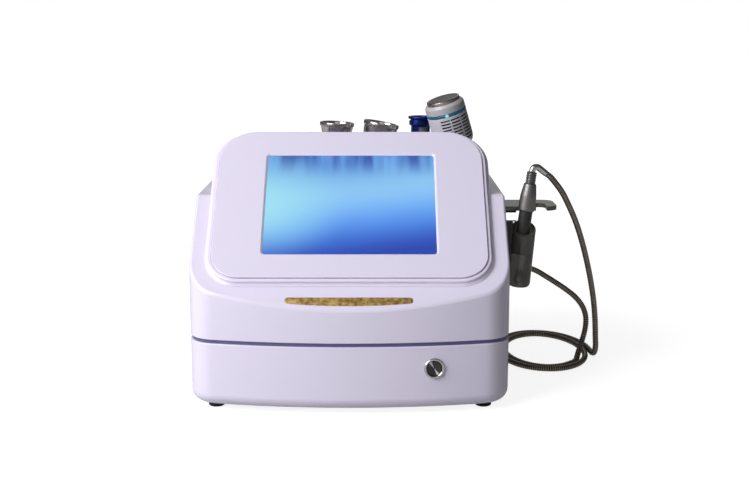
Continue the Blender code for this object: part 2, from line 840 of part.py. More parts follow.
def laser_module(low):
    size = (sink_width - 2 * laser_inset, sink_length - 2 * laser_inset, laser_height)
    centre_x = sink_left + sink_width / 2
    box = block(size, (centre_x, sink_front + sink_length / 2, low + gap + laser_height / 2))
    module = place("laser_module", soften(box, lambda edge: True, laser_inset / 4, 1),
                   assembly, black_metal)
    # Fibre port, on the line of the socket in the side wall
    reach = body_half_width - wall - socket_inner - gap
    start = centre_x + size[0] / 2 - laser_inset
    port = place("laser_port", rod(port_radius, start, reach, sides=round_sides), assembly,
                 location=(0, port_place, port_height), rotation=(0, math.pi / 2, 0))
    combine(module, port, "UNION")


def control_board():
    low = chassis_level + chassis_thickness + gap
    centre = (board_left + board_width / 2, board_front + board_length / 2)
    raised = low + 2 * standoff_radius
    board = place("control_board", block((board_width, board_length, board_thickness),
                                         (*centre, raised + board_thickness / 2)),
                  assembly, board_green)
    extras = bmesh.new()
    for x in (-1, 1):
        for y in (-1, 1):
            spot = (centre[0] + x * (board_width / 2 - standoff_radius),
                    centre[1] + y * (board_length / 2 - standoff_radius))
            rod(standoff_radius / 2, low, raised + board_thickness / 2, spot, small_sides,
                bm=extras)
    chip_shares = ((-0.30, 0.15, 0.16), (-0.05, -0.10, 0.22), (0.22, 0.18, 0.14),
                   (0.32, -0.20, 0.10))
    for across_share, along_share, size_share in chip_shares:
        side = size_share * board_width
        block((side, side, chip_height),
              (centre[0] + across_share * board_width, centre[1] + along_share * board_length,
               raised + board_thickness / 2 + chip_height / 2), bm=extras)
    combine(board, place("board_extras", extras, assembly), "UNION")


def fan():
    # The fan's own frame has z along its axle, towards the rear
    axle = empty("fan_axle", assembly, (fan_x, body_depth - wall - gap - fan_depth, fan_z),
                 (-math.pi / 2, 0, 0))
    half = fan_depth / 2
    frame = place("fan_frame", block((fan_side, fan_side, fan_depth), (0, 0, half)), axle,
                  black_plastic)
    combine(frame, place("fan_duct", rod(fan_bore, -overrun, fan_depth + overrun), axle))
    holder = rod(fan_hub, fan_depth - fan_back, fan_depth)
    spider = place("fan_spider", holder, axle)
    struts = bmesh.new()
    span = fan_bore + fan_side / 2
    block((span, fan_strut, fan_back), (0, 0, fan_depth - fan_back / 2), bm=struts)
    combine(spider, place("fan_struts", struts, axle), "UNION")
    cross = block((fan_strut, span, fan_back), (0, 0, fan_depth - fan_back / 2))
    combine(spider, place("fan_cross", cross, axle), "UNION")
    pin = rod(fan_pin, fan_back, fan_depth - fan_back / 2, sides=small_sides)
    combine(spider, place("fan_pin", pin, axle), "UNION")
    combine(frame, spider, "UNION")
    reach = fan_side / 2 - fan_screw_inset
    corners = [(x * reach, y * reach) for x in (-1, 1) for y in (-1, 1)]
    bores = bmesh.new()
    for spot in corners:
        rod(screw_radius + screw_clearance, -overrun, fan_depth + overrun, spot, small_sides,
            bm=bores)
    combine(frame, place("fan_bores", bores, axle))

    hub_low = gap
    hub_high = fan_depth - fan_back - gap
    rotor = place("fan_rotor", rod(fan_hub, hub_low, hub_high), axle, black_plastic)
    blades = bmesh.new()
    inner = fan_hub - fan_blade_thickness
    length = fan_blade_reach - inner
    chord = (hub_high - hub_low - 2 * fan_blade_thickness) / math.sin(fan_blade_pitch)
    for blade in range(fan_blades):
        turn = Matrix.Rotation(2 * math.pi * blade / fan_blades, 4, "Z")
        out = Matrix.Translation((inner + length / 2, 0, (hub_low + hub_high) / 2))
        pitch = Matrix.Rotation(fan_blade_pitch, 4, "X")
        shape = Matrix.Diagonal((length, chord, fan_blade_thickness, 1))
        bmesh.ops.create_cube(blades, size=1, matrix=turn @ out @ pitch @ shape)
    combine(rotor, place("fan_blades", blades, axle), "UNION")
    combine(rotor, place("rotor_bore", rod(fan_pin + gap, fan_back - gap, fan_depth,
                                           sides=small_sides), axle))

    # Guard outside the rear wall, with four pegs that hold it and the fan
    low = fan_depth + gap + wall + gap
    guard = place("fan_grille", prism(rounded_box(fan_side / 2, -fan_side / 2, fan_side / 2,
                                                  fan_screw_inset, fan_screw_inset, 3), low,
                                      low + grille_thickness), axle, black_metal)
    slots = bmesh.new()
    for ring in range(grille_rings):
        outer = fan_bore - ring * (grille_slot + grille_ring / 2)
        for part in range(4):
            start = part * math.pi / 2 + fan_strut / outer
            end = start + math.pi / 2 - 2 * fan_strut / outer
            sector = arc((0, 0), outer, start, end, grille_steps)
            sector += arc((0, 0), outer - grille_slot, end, start, grille_steps)
            prism(sector, low - overrun, low + grille_thickness + overrun, bm=slots)
    combine(guard, place("grille_slots", slots, axle))
    pegs = bmesh.new()
    for spot in corners:
        rod(screw_radius, fan_back, low + grille_thickness / 2, spot, small_sides, bm=pegs)
    combine(guard, place("grille_pegs", pegs, axle), "UNION")
    return axle, corners


def fan_openings(shell, axle, corners):
    outlet = rod(fan_bore, fan_depth - overrun, fan_depth + wall + 2 * overrun)
    combine(shell, place("fan_outlet", outlet, axle))
    bores = bmesh.new()
    for spot in corners:
        rod(screw_radius + screw_clearance, fan_depth - overrun,
            fan_depth + wall + 2 * overrun, spot, small_sides, bm=bores)
    combine(shell, place("outlet_bores", bores, axle))


def mains_inlet(shell):
    # The inlet's own frame has x to the right seen from the rear, z out of the rear wall
    port = empty("inlet_port", assembly, (inlet_x, body_depth, inlet_z),
                 (math.pi / 2, 0, math.pi))
    cutout = block((inlet_body_width + 2 * gap, inlet_body_height + 2 * gap, inlet_depth),
                   (0, 0, 0))
    combine(shell, place("inlet_cutout", cutout, port))
    flange = block((inlet_flange_width, inlet_flange_height, inlet_flange),
                   (0, 0, gap + inlet_flange / 2))
    inlet = place("mains_inlet", flange, port, black_plastic)
    body = block((inlet_body_width, inlet_body_height, inlet_depth + inlet_flange),
                 (0, 0, gap + inlet_flange / 2 - (inlet_depth + inlet_flange) / 2))
    combine(inlet, place("inlet_body", body, port), "UNION")
    face = gap + inlet_flange
    recess = block((socket_width, socket_height, 2 * socket_depth), (socket_shift, 0, face))
    combine(inlet, place("inlet_recess", recess, port))
    pins = bmesh.new()
    for shift, raise_share in ((-1, 0), (0, 0.4), (1, 0)):
        block((pin_size[0], pin_size[2], pin_size[1]),
              (socket_shift + shift * pin_spread, raise_share * pin_spread,
               face - socket_depth + pin_size[1] / 2 - pin_size[0]), bm=pins)
    combine(inlet, place("inlet_pins", pins, port), "UNION")
    hole = block((rocker_width + 2 * gap, rocker_height + 2 * gap, 2 * rocker_radius),
                 (rocker_shift, 0, face))
    combine(inlet, place("rocker_hole", hole, port))

    # The rocker turns about x on a pivot sunk in its hole
    pivot = empty("rocker_pivot", port, (rocker_shift, 0, face - rocker_pivot_depth),
                  (rocker_tilt, 0, 0))
    top, reach = rocker_top, rocker_reach
    dip = rocker_height * math.sin(rocker_tilt) / 4
    side = [(-reach, top), (-reach, 0), (-reach / 2, -rocker_pivot_depth / 2),
            (reach / 2, -rocker_pivot_depth / 2), (reach, 0), (reach, top), (0, top - dip)]
    bm = prism(side[::-1], -rocker_width / 2, rocker_width / 2)
    across = Matrix(((0, 0, 1, 0), (1, 0, 0, 0), (0, 1, 0, 0), (0, 0, 0, 1)))
    bmesh.ops.transform(bm, matrix=across, verts=bm.verts)
    bmesh.ops.recalc_face_normals(bm, faces=bm.faces)
    place("mains_rocker", bm, pivot, black_plastic)


def power_button(shell):
    # The button's frame has z out of the curved front, square to it
    lean = math.asin(button_x / front_arc_radius)
    front_y = front_arc_radius * (1 - math.cos(lean))
    axis = empty("button_axis", assembly, (button_x, front_y, button_z),
                 (math.pi / 2, 0, lean))
    hole = rod(button_barrel + gap, -2 * wall, overrun)
    combine(shell, place("button_hole", hole, axis))
    seat = gap + (button_ring_radius ** 2) / (2 * front_arc_radius)
    edge = button_ring_height / 3
    top = seat + button_ring_height
    bore = button_barrel - button_wall + gap
    low = -button_barrel_length
    mouth = button_cap_radius + gap
    profile = [(mouth, top - edge), (mouth + edge, top), (button_ring_radius - edge, top),
               (button_ring_radius, top - edge), (button_ring_radius, seat),
               (button_barrel, seat), (button_barrel, low), (bore, low), (bore, -wall),
               (mouth, -wall)]
    turned("power_button_ring", profile, axis, steel, ring=True)
    cap_top = top - edge
    stem = bore - gap - gap
    cap = [(0, cap_top - button_dish), (button_cap_radius / 2, cap_top - button_dish * 3 / 4),
           (button_cap_radius - edge, cap_top - edge / 4), (button_cap_radius, cap_top - edge),
           (button_cap_radius, button_travel - wall + gap),
           (stem / 2, button_travel - wall + gap), (stem / 2, -button_barrel_length / 2),
           (0, -button_barrel_length / 2)]
    turned("power_button_cap", cap, axis, dark_steel)
    body_top = -button_barrel_length / 2 - gap - button_travel
    body_low = body_top - button_body_length
    switch = [(0, body_top), (stem, body_top), (stem, body_low), (0, body_low)]
    turned("power_button_body", switch, axis, black_plastic)
    nut_top = -wall - gap - (button_nut_radius ** 2) / (2 * (front_arc_radius - wall))
    nut = place("power_button_nut", rod(button_nut_radius, nut_top - button_nut_height,
                                        nut_top, sides=6), axis, steel)
    combine(nut, place("nut_bore", rod(button_barrel + gap, nut_top - 2 * button_nut_height,
                                       nut_top + overrun), axis))


def deck_point(spot):
    return (spot[0], spot[1], deck_height)


def well_cup(name, axis, spot, lean, radius, depth):
    # A tube along the head's axis, with a flange that lies flat on the deck
    outer = radius + gap + well_wall
    top = gap + well_flange_height
    cup = place(name, rod(outer, -depth - well_floor, 4 * overrun), axis, black_plastic)
    above = block((8 * outer, 8 * outer, 8 * overrun),
                  (spot[0], spot[1], deck_height + top / 2 + 4 * overrun))
    combine(cup, place(name + "_above", above, assembly))
    disc = turned(name + "_disc", [(0, top), (outer + well_flange, top),
                                   (outer + well_flange, gap), (0, gap)], assembly,
                  location=deck_point(spot))
    disc.scale.x = 1 / math.cos(lean)
    combine(cup, disc, "UNION")
    bore = rod(radius + gap, -depth, 8 * overrun)
    combine(cup, place(name + "_bore", bore, axis))
    return rod(outer + gap, -depth - 2 * overrun, 4 * overrun)


def treatment_head(kind, spot, lean, profile, depth, casing, metal):
    # An axis, a well in the deck and a turned body that stands in it
    axis = empty(kind + "_axis", assembly, deck_point(spot), (0, lean, 0))
    cutter = well_cup("well_cup_" + kind, axis, spot, lean, head_stem, depth)
    combine(casing, place("deck_hole_" + kind, cutter, axis))
    turned(f"head_{kind}_shell", profile, axis, metal, ring=True)
    return axis


def silver_heads(casing):
    low = gap - head_well_depth
    for kind, spot, lean, rim, height, neck, mouth, throat in (
            ("large", large_place, large_lean, large_rim, large_rim_height, large_neck,
             large_mouth, large_throat),
            ("small", small_place, small_lean, small_rim, small_rim_height, small_neck,
             small_mouth, small_throat)):
        edge = large_lip / 4
        floor = height - head_mouth_depth
        seat = floor - head_lens_thickness - gap
        profile = [(mouth + edge, height), (rim - edge, height), (rim, height - edge),
                   (rim, height - large_lip + edge), (rim - edge, height - large_lip),
                   (neck, height - 3 * large_lip), (throat, head_stem_top + large_lip),
                   (head_stem, head_stem_top), (head_stem, low + edge), (head_stem - edge, low),
                   (mouth / 2, low), (mouth / 2, seat), (throat - edge, seat),
                   (throat, floor + edge), (mouth, height - edge)]
        axis = treatment_head(kind, spot, lean, profile, head_well_depth, casing, steel)
        disc = [(0, floor - gap), (throat - edge - gap, floor - gap),
                (throat - edge - gap, seat + gap), (0, seat + gap)]
        turned(f"head_{kind}_lens", disc, axis, lens)


def blue_head(casing):
    axis = empty("blue_axis", assembly, deck_point(blue_place))
    cutter = well_cup("well_cup_blue", axis, blue_place, 0, blue_tube, blue_well_depth)
    combine(casing, place("deck_hole_blue", cutter, axis))
    low = gap - blue_well_depth
    ring_top = blue_top - blue_ring_drop + blue_flange_height
    ring_low = blue_top - blue_ring_drop - blue_flange_height
    edge = blue_flange_height / 4
    inner = blue_core + gap
    lens_floor = blue_top - 2 * blue_lens_depth - gap
    profile = [(blue_lens_radius + gap, blue_top), (blue_flange - edge, blue_top),
               (blue_flange, blue_top - edge), (blue_flange, blue_top - blue_flange_height),
               (blue_groove, blue_top - blue_flange_height - edge), (blue_groove, ring_top + edge),
               (blue_ring, ring_top), (blue_ring, ring_low + edge), (blue_tube, ring_low - edge),
               (blue_tube, low), (inner, low), (inner, lens_floor),
               (blue_lens_radius + gap, lens_floor)]
    collar = turned("blue_head_collar", profile, axis, blue_metal, ring=True)
    # A window in front shows the grey barrel inside
    window_high = ring_low - 2 * blue_flange_height
    window = block((2 * blue_window_half_width, 2 * blue_tube, window_high - blue_window_low),
                   (blue_window_half_width / 2, -blue_tube - blue_flange_height / 2,
                    (window_high + blue_window_low) / 2))
    combine(collar, place("blue_window", window, axis))
    barrel = [(0, lens_floor - gap), (blue_core, lens_floor - gap), (blue_core, low), (0, low)]
    turned("blue_head_barrel", barrel, axis, grey_plastic)
    glass = [(0, blue_top - blue_lens_depth), (blue_lens_radius, blue_top - blue_lens_depth),
             (blue_lens_radius, lens_floor + gap), (0, lens_floor + gap)]
    turned("blue_head_lens", glass, axis, lens)


def cold_hammer(casing):
    axis = empty("hammer_axis", assembly, deck_point(hammer_place),
                 (hammer_nod, hammer_lean, 0))
    cutter = well_cup("well_cup_hammer", axis, hammer_place, hammer_lean, hammer_grip_radius,
                      hammer_well_depth)
    combine(casing, place("deck_hole_hammer", cutter, axis))
    edge = hammer_plate_height / 3
    plate_low = hammer_top - hammer_plate_height
    plate = [(0, hammer_top), (hammer_plate_radius - edge, hammer_top),
             (hammer_plate_radius, hammer_top - edge), (hammer_plate_radius, plate_low),
             (0, plate_low)]
    turned("hammer_plate", plate, axis, steel)
    cap_top = plate_low - gap
    shoulder = hammer_cap_radius - edge
    cap = [(0, cap_top), (shoulder - edge, cap_top), (shoulder, cap_top - edge),
           (hammer_cap_radius, cap_top - 3 * edge), (hammer_cap_radius, hammer_cap_low),
           (0, hammer_cap_low)]
    turned("hammer_cap", cap, axis, grey_plastic)
    light = [(0, hammer_cap_low - gap), (hammer_led_radius, hammer_cap_low - gap),
             (hammer_led_radius, hammer_led_low), (0, hammer_led_low)]
    turned("hammer_led_ring", light, axis, teal_light, sides=hammer_sides)
    quarter = math.pi / 2
    foot = arc((hammer_radius - hammer_round, hammer_low + hammer_round), hammer_round, 0,
               -quarter, 4)
    body = [(0, hammer_led_low - gap), (hammer_radius, hammer_led_low - gap)] + foot
    body.append((0, hammer_low))
    vent_body = turned("hammer_vent_body", body, axis, white_plastic, sides=hammer_sides)
    slots = bmesh.new()
    for column in range(vent_columns):
        turn = Matrix.Rotation(vent_start + column * vent_step, 4, "Z")
        for row in range(vent_rows):
            out = Matrix.Translation((hammer_radius, 0, vent_top - row * vent_pitch))
            bmesh.ops.create_cube(slots, size=1,
                                  matrix=turn @ out @ Matrix.Diagonal((*vent_slot, 1)))
    combine(vent_body, place("vent_slots", slots, axis))
    low = gap - hammer_well_depth
    grip = [(0, hammer_low - gap), (hammer_grip_radius - edge, hammer_low - gap),
            (hammer_grip_radius, hammer_low - gap - edge), (hammer_grip_radius, low + edge),
            (hammer_grip_radius - edge, low), (0, low)]
    turned("hammer_grip", grip, axis, grey_plastic)


def holder():
    # Smoked plate that stands out of the right side, on an angle bracket
    inner = gap
    quarter = math.pi / 2
    corner_x = holder_reach - holder_corner
    outline = [(inner, holder_front)]
    outline += arc((corner_x, holder_front + holder_corner), holder_corner, -quarter, 0, 5)
    outline += arc((corner_x, holder_back - holder_corner), holder_corner, 0, quarter, 5)
    outline.append((inner, holder_back))
    plate = place("holder_plate", prism(outline, holder_level, holder_level + holder_thickness),
                  side_frame, smoke)
    half = holder_slot_width / 2
    slot_end = holder_front + holder_slot_depth - half
    slot = [(holder_slot_x - half, holder_front - overrun),
            (holder_slot_x + half, holder_front - overrun)]
    slot += arc((holder_slot_x, slot_end), half, 0, math.pi, 8)
    combine(plate, place("holder_slot", prism(slot, holder_level - overrun,
                                              holder_level + holder_thickness + overrun),
                         side_frame))
    top = holder_level - gap
    length = holder_back - holder_front - 2 * bracket_inset
    centre_y = (holder_front + holder_back) / 2
    angle = place("plate_bracket", block((bracket_leg, length, bracket_drop),
                                         (inner + bracket_leg / 2, centre_y,
                                          top - bracket_drop / 2)), side_frame, black_metal)
    shelf = block((bracket_reach, length, bracket_leg),
                  (inner + bracket_reach / 2, centre_y, top - bracket_leg / 2))
    combine(angle, place("bracket_shelf", shelf, side_frame), "UNION")


def cup_profile(grow):
    quarter = math.pi / 2
    low_x = cup_low_radius - cup_round
    foot = arc((low_x, cup_round), cup_round + grow, 0, -quarter, 4)
    return ([(0, cup_length + grow), (cup_top_radius + grow, cup_length + grow)] + foot
            + [(0, -grow)])


def side_cup():
    # Smoked cup that leans with its mouth outwards, cut oblique, on a saddle at the wall
    axis = empty("cup_axis", side_frame, cup_place, (0, cup_lean, 0))
    cup = turned("side_cup", cup_profile(0), axis, smoke)
    bore = rod(cup_bore, cup_bore_low, cup_length + overrun)
    combine(cup, place("cup_bore", bore, axis))
    slant = math.atan2(cup_mouth_drop, 2 * cup_top_radius)
    above = block((8 * cup_top_radius, 8 * cup_top_radius, 2 * cup_length),
                  (0, 0, cup_length))
    low_face = cup_length - cup_mouth_drop / 2
    combine(cup, place("cup_slant", above, axis, location=(0, 0, low_face),
                       rotation=(slant, 0, 0)))
    inner = gap
    low = cup_place[2] + cup_bracket_low
    high = cup_place[2] + cup_bracket_high
    saddle = block((cup_bracket_reach, cup_bracket_width, high - low),
                   (inner + cup_bracket_reach / 2, cup_place[1], (low + high) / 2))
    bracket = place("cup_bracket", soften(saddle, lambda edge: True, bracket_leg / 2, 2),
                    side_frame, black_plastic)
    clearance = turned("cup_clearance", cup_profile(gap), axis)
    combine(bracket, clearance)


def handpiece():
    axis = empty("handpiece_axis", side_frame, handpiece_tip, (0, handpiece_lean, 0))
    edge = barrel_radius / 8
    barrel = [(0, cone_low - gap), (barrel_radius, cone_low - gap),
              (barrel_radius, cone_low / 2), (barrel_tip_radius, edge),
              (barrel_tip_radius - edge, 0), (0, 0)]
    turned("handpiece_barrel", barrel, axis, black_plastic)
    cone = [(0, cone_top), (cone_top_radius - edge, cone_top), (cone_top_radius, cone_top - edge),
            ((cone_radius + cone_top_radius) / 2 + edge, (cone_low + cone_top) / 2 + 2 * edge),
            (cone_radius, cone_low + 4 * edge), (cone_radius - edge / 2, cone_low + 2 * edge),
            (cone_radius - edge, cone_low), (0, cone_low)]
    turned("handpiece_cone", cone, axis, grey_metal)
    low = cone_top + gap
    collar = [(0, collar_top), (collar_radius - 2 * edge, collar_top),
              (collar_radius - edge, collar_top - edge)]
    step = (collar_top - low) / (2 * collar_grooves + 1)
    for groove in range(collar_grooves):
        high = collar_top - (2 * groove + 1) * step
        collar += [(collar_radius, high), (collar_radius, high - step / 2),
                   (collar_radius - edge / 2, high - step / 2),
                   (collar_radius - edge / 2, high - step)]
    collar += [(collar_radius, low + step), (collar_radius, low), (0, low)]
    turned("handpiece_collar", collar, axis, grey_metal, foot_sides)
    tube("handpiece_neck", neck_route, cord_radius, steel, 3, cord_radius / 2, gap)


def smooth_route(route, step, ends):
    # Even points on a smooth curve through the route, straight for one diameter at each end
    knots = [Vector(point) for point in route]
    knots = [2 * knots[0] - knots[1]] + knots + [2 * knots[-1] - knots[-2]]
    fine = []
    for before, first, last, after in zip(knots, knots[1:], knots[2:], knots[3:]):
        for share in (part / 16 for part in range(16)):
            square, cube = share ** 2, share ** 3
            fine.append(((2 * first) + (last - before) * share
                         + (2 * before - 5 * first + 4 * last - after) * square
                         + (3 * first - before - 3 * last + after) * cube) / 2)
    fine.append(knots[-2])
    lengths = [(second - first).length for first, second in zip(fine, fine[1:])]
    total = sum(lengths)
    count = max(2, round((total - 2 * ends) / step))
    marks = [0, *(ends + (total - 2 * ends) * part / count for part in range(count + 1)), total]
    points = []
    spot, run = 0, 0
    for mark in marks:
        while spot < len(lengths) - 1 and run + lengths[spot] < mark:
            run += lengths[spot]
            spot += 1
        share = (mark - run) / lengths[spot]
        points.append(fine[spot].lerp(fine[spot + 1], min(max(share, 0), 1)))
    return points


def tube(name, route, radius, look, resolution, step, ends=None):
    points = smooth_route(route, step, 2 * radius if ends is None else ends)
    curve = bpy.data.curves.new(name, "CURVE")
    curve.dimensions = "3D"
    curve.bevel_depth = radius
    curve.bevel_resolution = resolution
    curve.use_fill_caps = True
    line = curve.splines.new("POLY")
    line.points.add(len(points) - 1)
    for knot, point in zip(line.points, points):
        knot.co = (*point, 1)
    curve.materials.append(look)
    made = bpy.data.objects.new(name, curve)
    made.parent = side_frame
    parts.objects.link(made)
    return points


def loop_route():
    # Nearly two oval turns, from the right-hand side round the back and along the wall
    points = []
    steps = round(loop_turns * loop_points)
    for step in range(steps + 1):
        share = loop_turns * step / steps
        turn = 2 * math.pi * share
        across, along = math.cos(turn), math.sin(turn)
        draw = loop_draw * share
        reach_x = (loop_right if across > 0 else loop_left) - draw
        reach_y = (loop_back if along > 0 else loop_front) - draw
        points.append(Vector((loop_centre[0] + reach_x * across, loop_centre[1] + reach_y * along,
                              cord_radius + gap / 3)))
    return points


def least_gap(points, radius, skip):
    # Least free space between turns that lie further apart along the cord
    least = min((first - second).length for place, first in enumerate(points)
                for second in points[place + skip:])
    return least - 2 * radius


def fibre_socket(casing):
    axis = empty("socket_axis", side_frame, (0, 0, port_height), (0, math.pi / 2, 0))
    hole = rod(socket_barrel + gap, -2 * wall, overrun)
    combine(casing, place("socket_hole", hole, axis))
    edge = socket_flange_height / 4
    top = gap + socket_flange_height
    socket = [(0, top), (socket_flange - edge, top), (socket_flange, top - edge),
              (socket_flange, gap), (socket_barrel, gap), (socket_barrel, -wall - socket_inner),
              (0, -wall - socket_inner)]
    turned("fibre_socket", socket, axis, steel)
    low = top + gap
    high = low + relief_length
    relief = [(0, high), (relief_end_radius - edge, high), (relief_end_radius, high - edge),
              (relief_radius, low + relief_length / 3), (relief_radius, low), (0, low)]
    turned("fibre_relief", relief, axis, black_plastic)


base = base_shell()
seam_strip()
casing = top_shell()
name_plate()
screen_hood()
screen_bezel()
display_stack()
feet_and_screws()
chassis()
power_supply()
laser_module(heat_sink())
control_board()
fan_openings(casing, *fan())
mains_inlet(base)
power_button(base)
silver_heads(casing)
blue_head(casing)
cold_hammer(casing)
holder()
side_cup()
handpiece()
fibre_socket(casing)
tube("fibre_lead", lead_route, cord_radius, cord_metal, 3, cord_step)
loops = tube("fibre_coil", loop_route(), cord_radius, cord_metal, 1, cord_step)
print("least gap between the cable's loops",
      least_gap(loops, cord_radius, round(loop_points / 2)))
tube("fibre_riser", riser_route, cord_radius, cord_metal, 3, cord_step, cord_radius)
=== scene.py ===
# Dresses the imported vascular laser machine: shells, display, treatment heads, cable and looks.
import math

import bmesh
import bpy
from mathutils import Matrix, Vector
from mathutils.kdtree import KDTree


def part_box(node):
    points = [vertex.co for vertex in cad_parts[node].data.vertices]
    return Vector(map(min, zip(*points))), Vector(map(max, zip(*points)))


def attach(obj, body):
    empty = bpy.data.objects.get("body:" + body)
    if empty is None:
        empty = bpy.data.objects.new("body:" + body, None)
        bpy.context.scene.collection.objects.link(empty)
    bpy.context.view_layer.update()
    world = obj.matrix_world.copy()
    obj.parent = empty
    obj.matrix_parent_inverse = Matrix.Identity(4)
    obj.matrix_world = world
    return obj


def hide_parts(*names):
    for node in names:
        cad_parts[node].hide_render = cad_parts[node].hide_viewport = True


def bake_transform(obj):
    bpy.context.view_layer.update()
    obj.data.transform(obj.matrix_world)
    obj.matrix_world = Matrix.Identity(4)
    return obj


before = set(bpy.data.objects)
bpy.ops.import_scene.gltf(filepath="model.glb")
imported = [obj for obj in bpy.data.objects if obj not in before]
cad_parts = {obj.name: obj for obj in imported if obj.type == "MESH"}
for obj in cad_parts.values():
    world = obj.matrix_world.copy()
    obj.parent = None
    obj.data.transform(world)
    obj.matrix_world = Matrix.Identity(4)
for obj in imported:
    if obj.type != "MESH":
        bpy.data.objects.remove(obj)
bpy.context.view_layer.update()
scene = bpy.context.scene

# Drawing frame: x right from the body's middle, y back from its front, z up from the table
bodyLow, bodyHigh = (Vector(corner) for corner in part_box("base_shell"))
home = Vector(((bodyLow.x + bodyHigh.x) / 2, bodyLow.y, 0))

body = {
    "halfWidth": 0.1565, "depth": 0.300, "bowRadius": 0.600, "frontCorner": 0.031,
    "rearCorner": 0.026, "wall": 0.003, "bowSteps": 44, "cornerSteps": 14,
    "footTop": 0.006, "seamLow": 0.0688, "seamHigh": 0.0724, "slopeFront": 0.105,
    "slope": math.radians(42.06), "deck": 0.201, "gap": 0.0003,
    "lowRound": 0.012, "slopeRound": 0.003, "seamRound": 0.0009,
}
overrun = 0.005
slopePlace = Matrix.Translation((0, 0, body["slopeFront"])) @ Matrix.Rotation(body["slope"], 4, "X")
quarter = math.pi / 2


# Camera: the photograph's place and pitch
camera = {"place": (0.0248, -1.177, 0.383), "pitch": math.radians(10.565), "lens": 61.25}

eye = bpy.data.objects.new("eye", bpy.data.cameras.new("eye"))
eye.location = home + Vector(camera["place"])
eye.rotation_euler = (quarter - camera["pitch"], 0, 0)
eye.data.lens = camera["lens"]
eye.data.sensor_width = 36
eye.data.clip_start = 0.05
scene.collection.objects.link(eye)
scene.camera = eye
scene.view_settings.view_transform = "Standard"


# Shared shader groups
def newGroup(name, inputs, outputs):
    group = bpy.data.node_groups.new(name, "ShaderNodeTree")
    for label, kind, value in inputs:
        socket = group.interface.new_socket(label, in_out="INPUT", socket_type=kind)
        socket.default_value = value
    for label, kind in outputs:
        group.interface.new_socket(label, in_out="OUTPUT", socket_type=kind)
    entry = group.nodes.new("NodeGroupInput")
    leave = group.nodes.new("NodeGroupOutput")
    return group, entry.outputs, leave.inputs


def addNode(tree, kind, links=(), **settings):
    node = tree.nodes.new(kind)
    for key, value in settings.items():
        if key.startswith("in_"):
            node.inputs[int(key[3:])].default_value = value
        else:
            setattr(node, key, value)
    for spot, source in links:
        tree.links.new(source, node.inputs[spot])
    return node


def buildMouldedSkin():
    # Moulded surface: faint cloudiness, fine orange peel and a little dust on what faces up
    group, take, give = newGroup(
        "mouldedSkin",
        [("Colour", "NodeSocketColor", (0.8, 0.8, 0.8, 1)), ("Cloud", "NodeSocketFloat", 0.03),
         ("Roughness", "NodeSocketFloat", 0.3), ("Peel", "NodeSocketFloat", 0.05),
         ("Peel Scale", "NodeSocketFloat", 900.0), ("Dust", "NodeSocketFloat", 0.05)],
        [("Colour", "NodeSocketColor"), ("Roughness", "NodeSocketFloat"),
         ("Normal", "NodeSocketVector")])
    place = addNode(group, "ShaderNodeTexCoord")
    cloud = addNode(group, "ShaderNodeTexNoise", [("Vector", place.outputs["Object"])])
    cloud.inputs["Scale"].default_value = 26
    cloud.inputs["Detail"].default_value = 4
    spread = addNode(group, "ShaderNodeMath", [(0, cloud.outputs["Fac"]), (1, take["Cloud"])],
                     operation="MULTIPLY")
    darker = addNode(group, "ShaderNodeMath", [(1, spread.outputs[0])], operation="SUBTRACT", in_0=1.0)
    toned = addNode(group, "ShaderNodeVectorMath",
                    [(0, take["Colour"]), (3, darker.outputs[0])], operation="SCALE")
    facing = addNode(group, "ShaderNodeNewGeometry")
    split = addNode(group, "ShaderNodeSeparateXYZ", [(0, facing.outputs["Normal"])])
    upward = addNode(group, "ShaderNodeMath", [(0, split.outputs["Z"]), (1, take["Dust"])],
                     operation="MULTIPLY", use_clamp=True)
    dusty = addNode(group, "ShaderNodeMix",
                    [(0, upward.outputs[0]), (6, toned.outputs[0])], data_type="RGBA")
    dusty.inputs[7].default_value = (0.72, 0.71, 0.70, 1)
    rough = addNode(group, "ShaderNodeMath", [(0, spread.outputs[0]), (1, take["Roughness"])],
                    operation="ADD")
    dull = addNode(group, "ShaderNodeMath", [(0, rough.outputs[0]), (1, upward.outputs[0])],
                   operation="ADD")
    peel = addNode(group, "ShaderNodeTexNoise",
                   [("Vector", place.outputs["Object"]), ("Scale", take["Peel Scale"])])
    bump = addNode(group, "ShaderNodeBump",
                   [("Strength", take["Peel"]), ("Height", peel.outputs["Fac"])])
    bump.inputs["Distance"].default_value = 0.0002
    group.links.new(dusty.outputs[2], give["Colour"])
    group.links.new(dull.outputs[0], give["Roughness"])
    group.links.new(bump.outputs[0], give["Normal"])
    return group


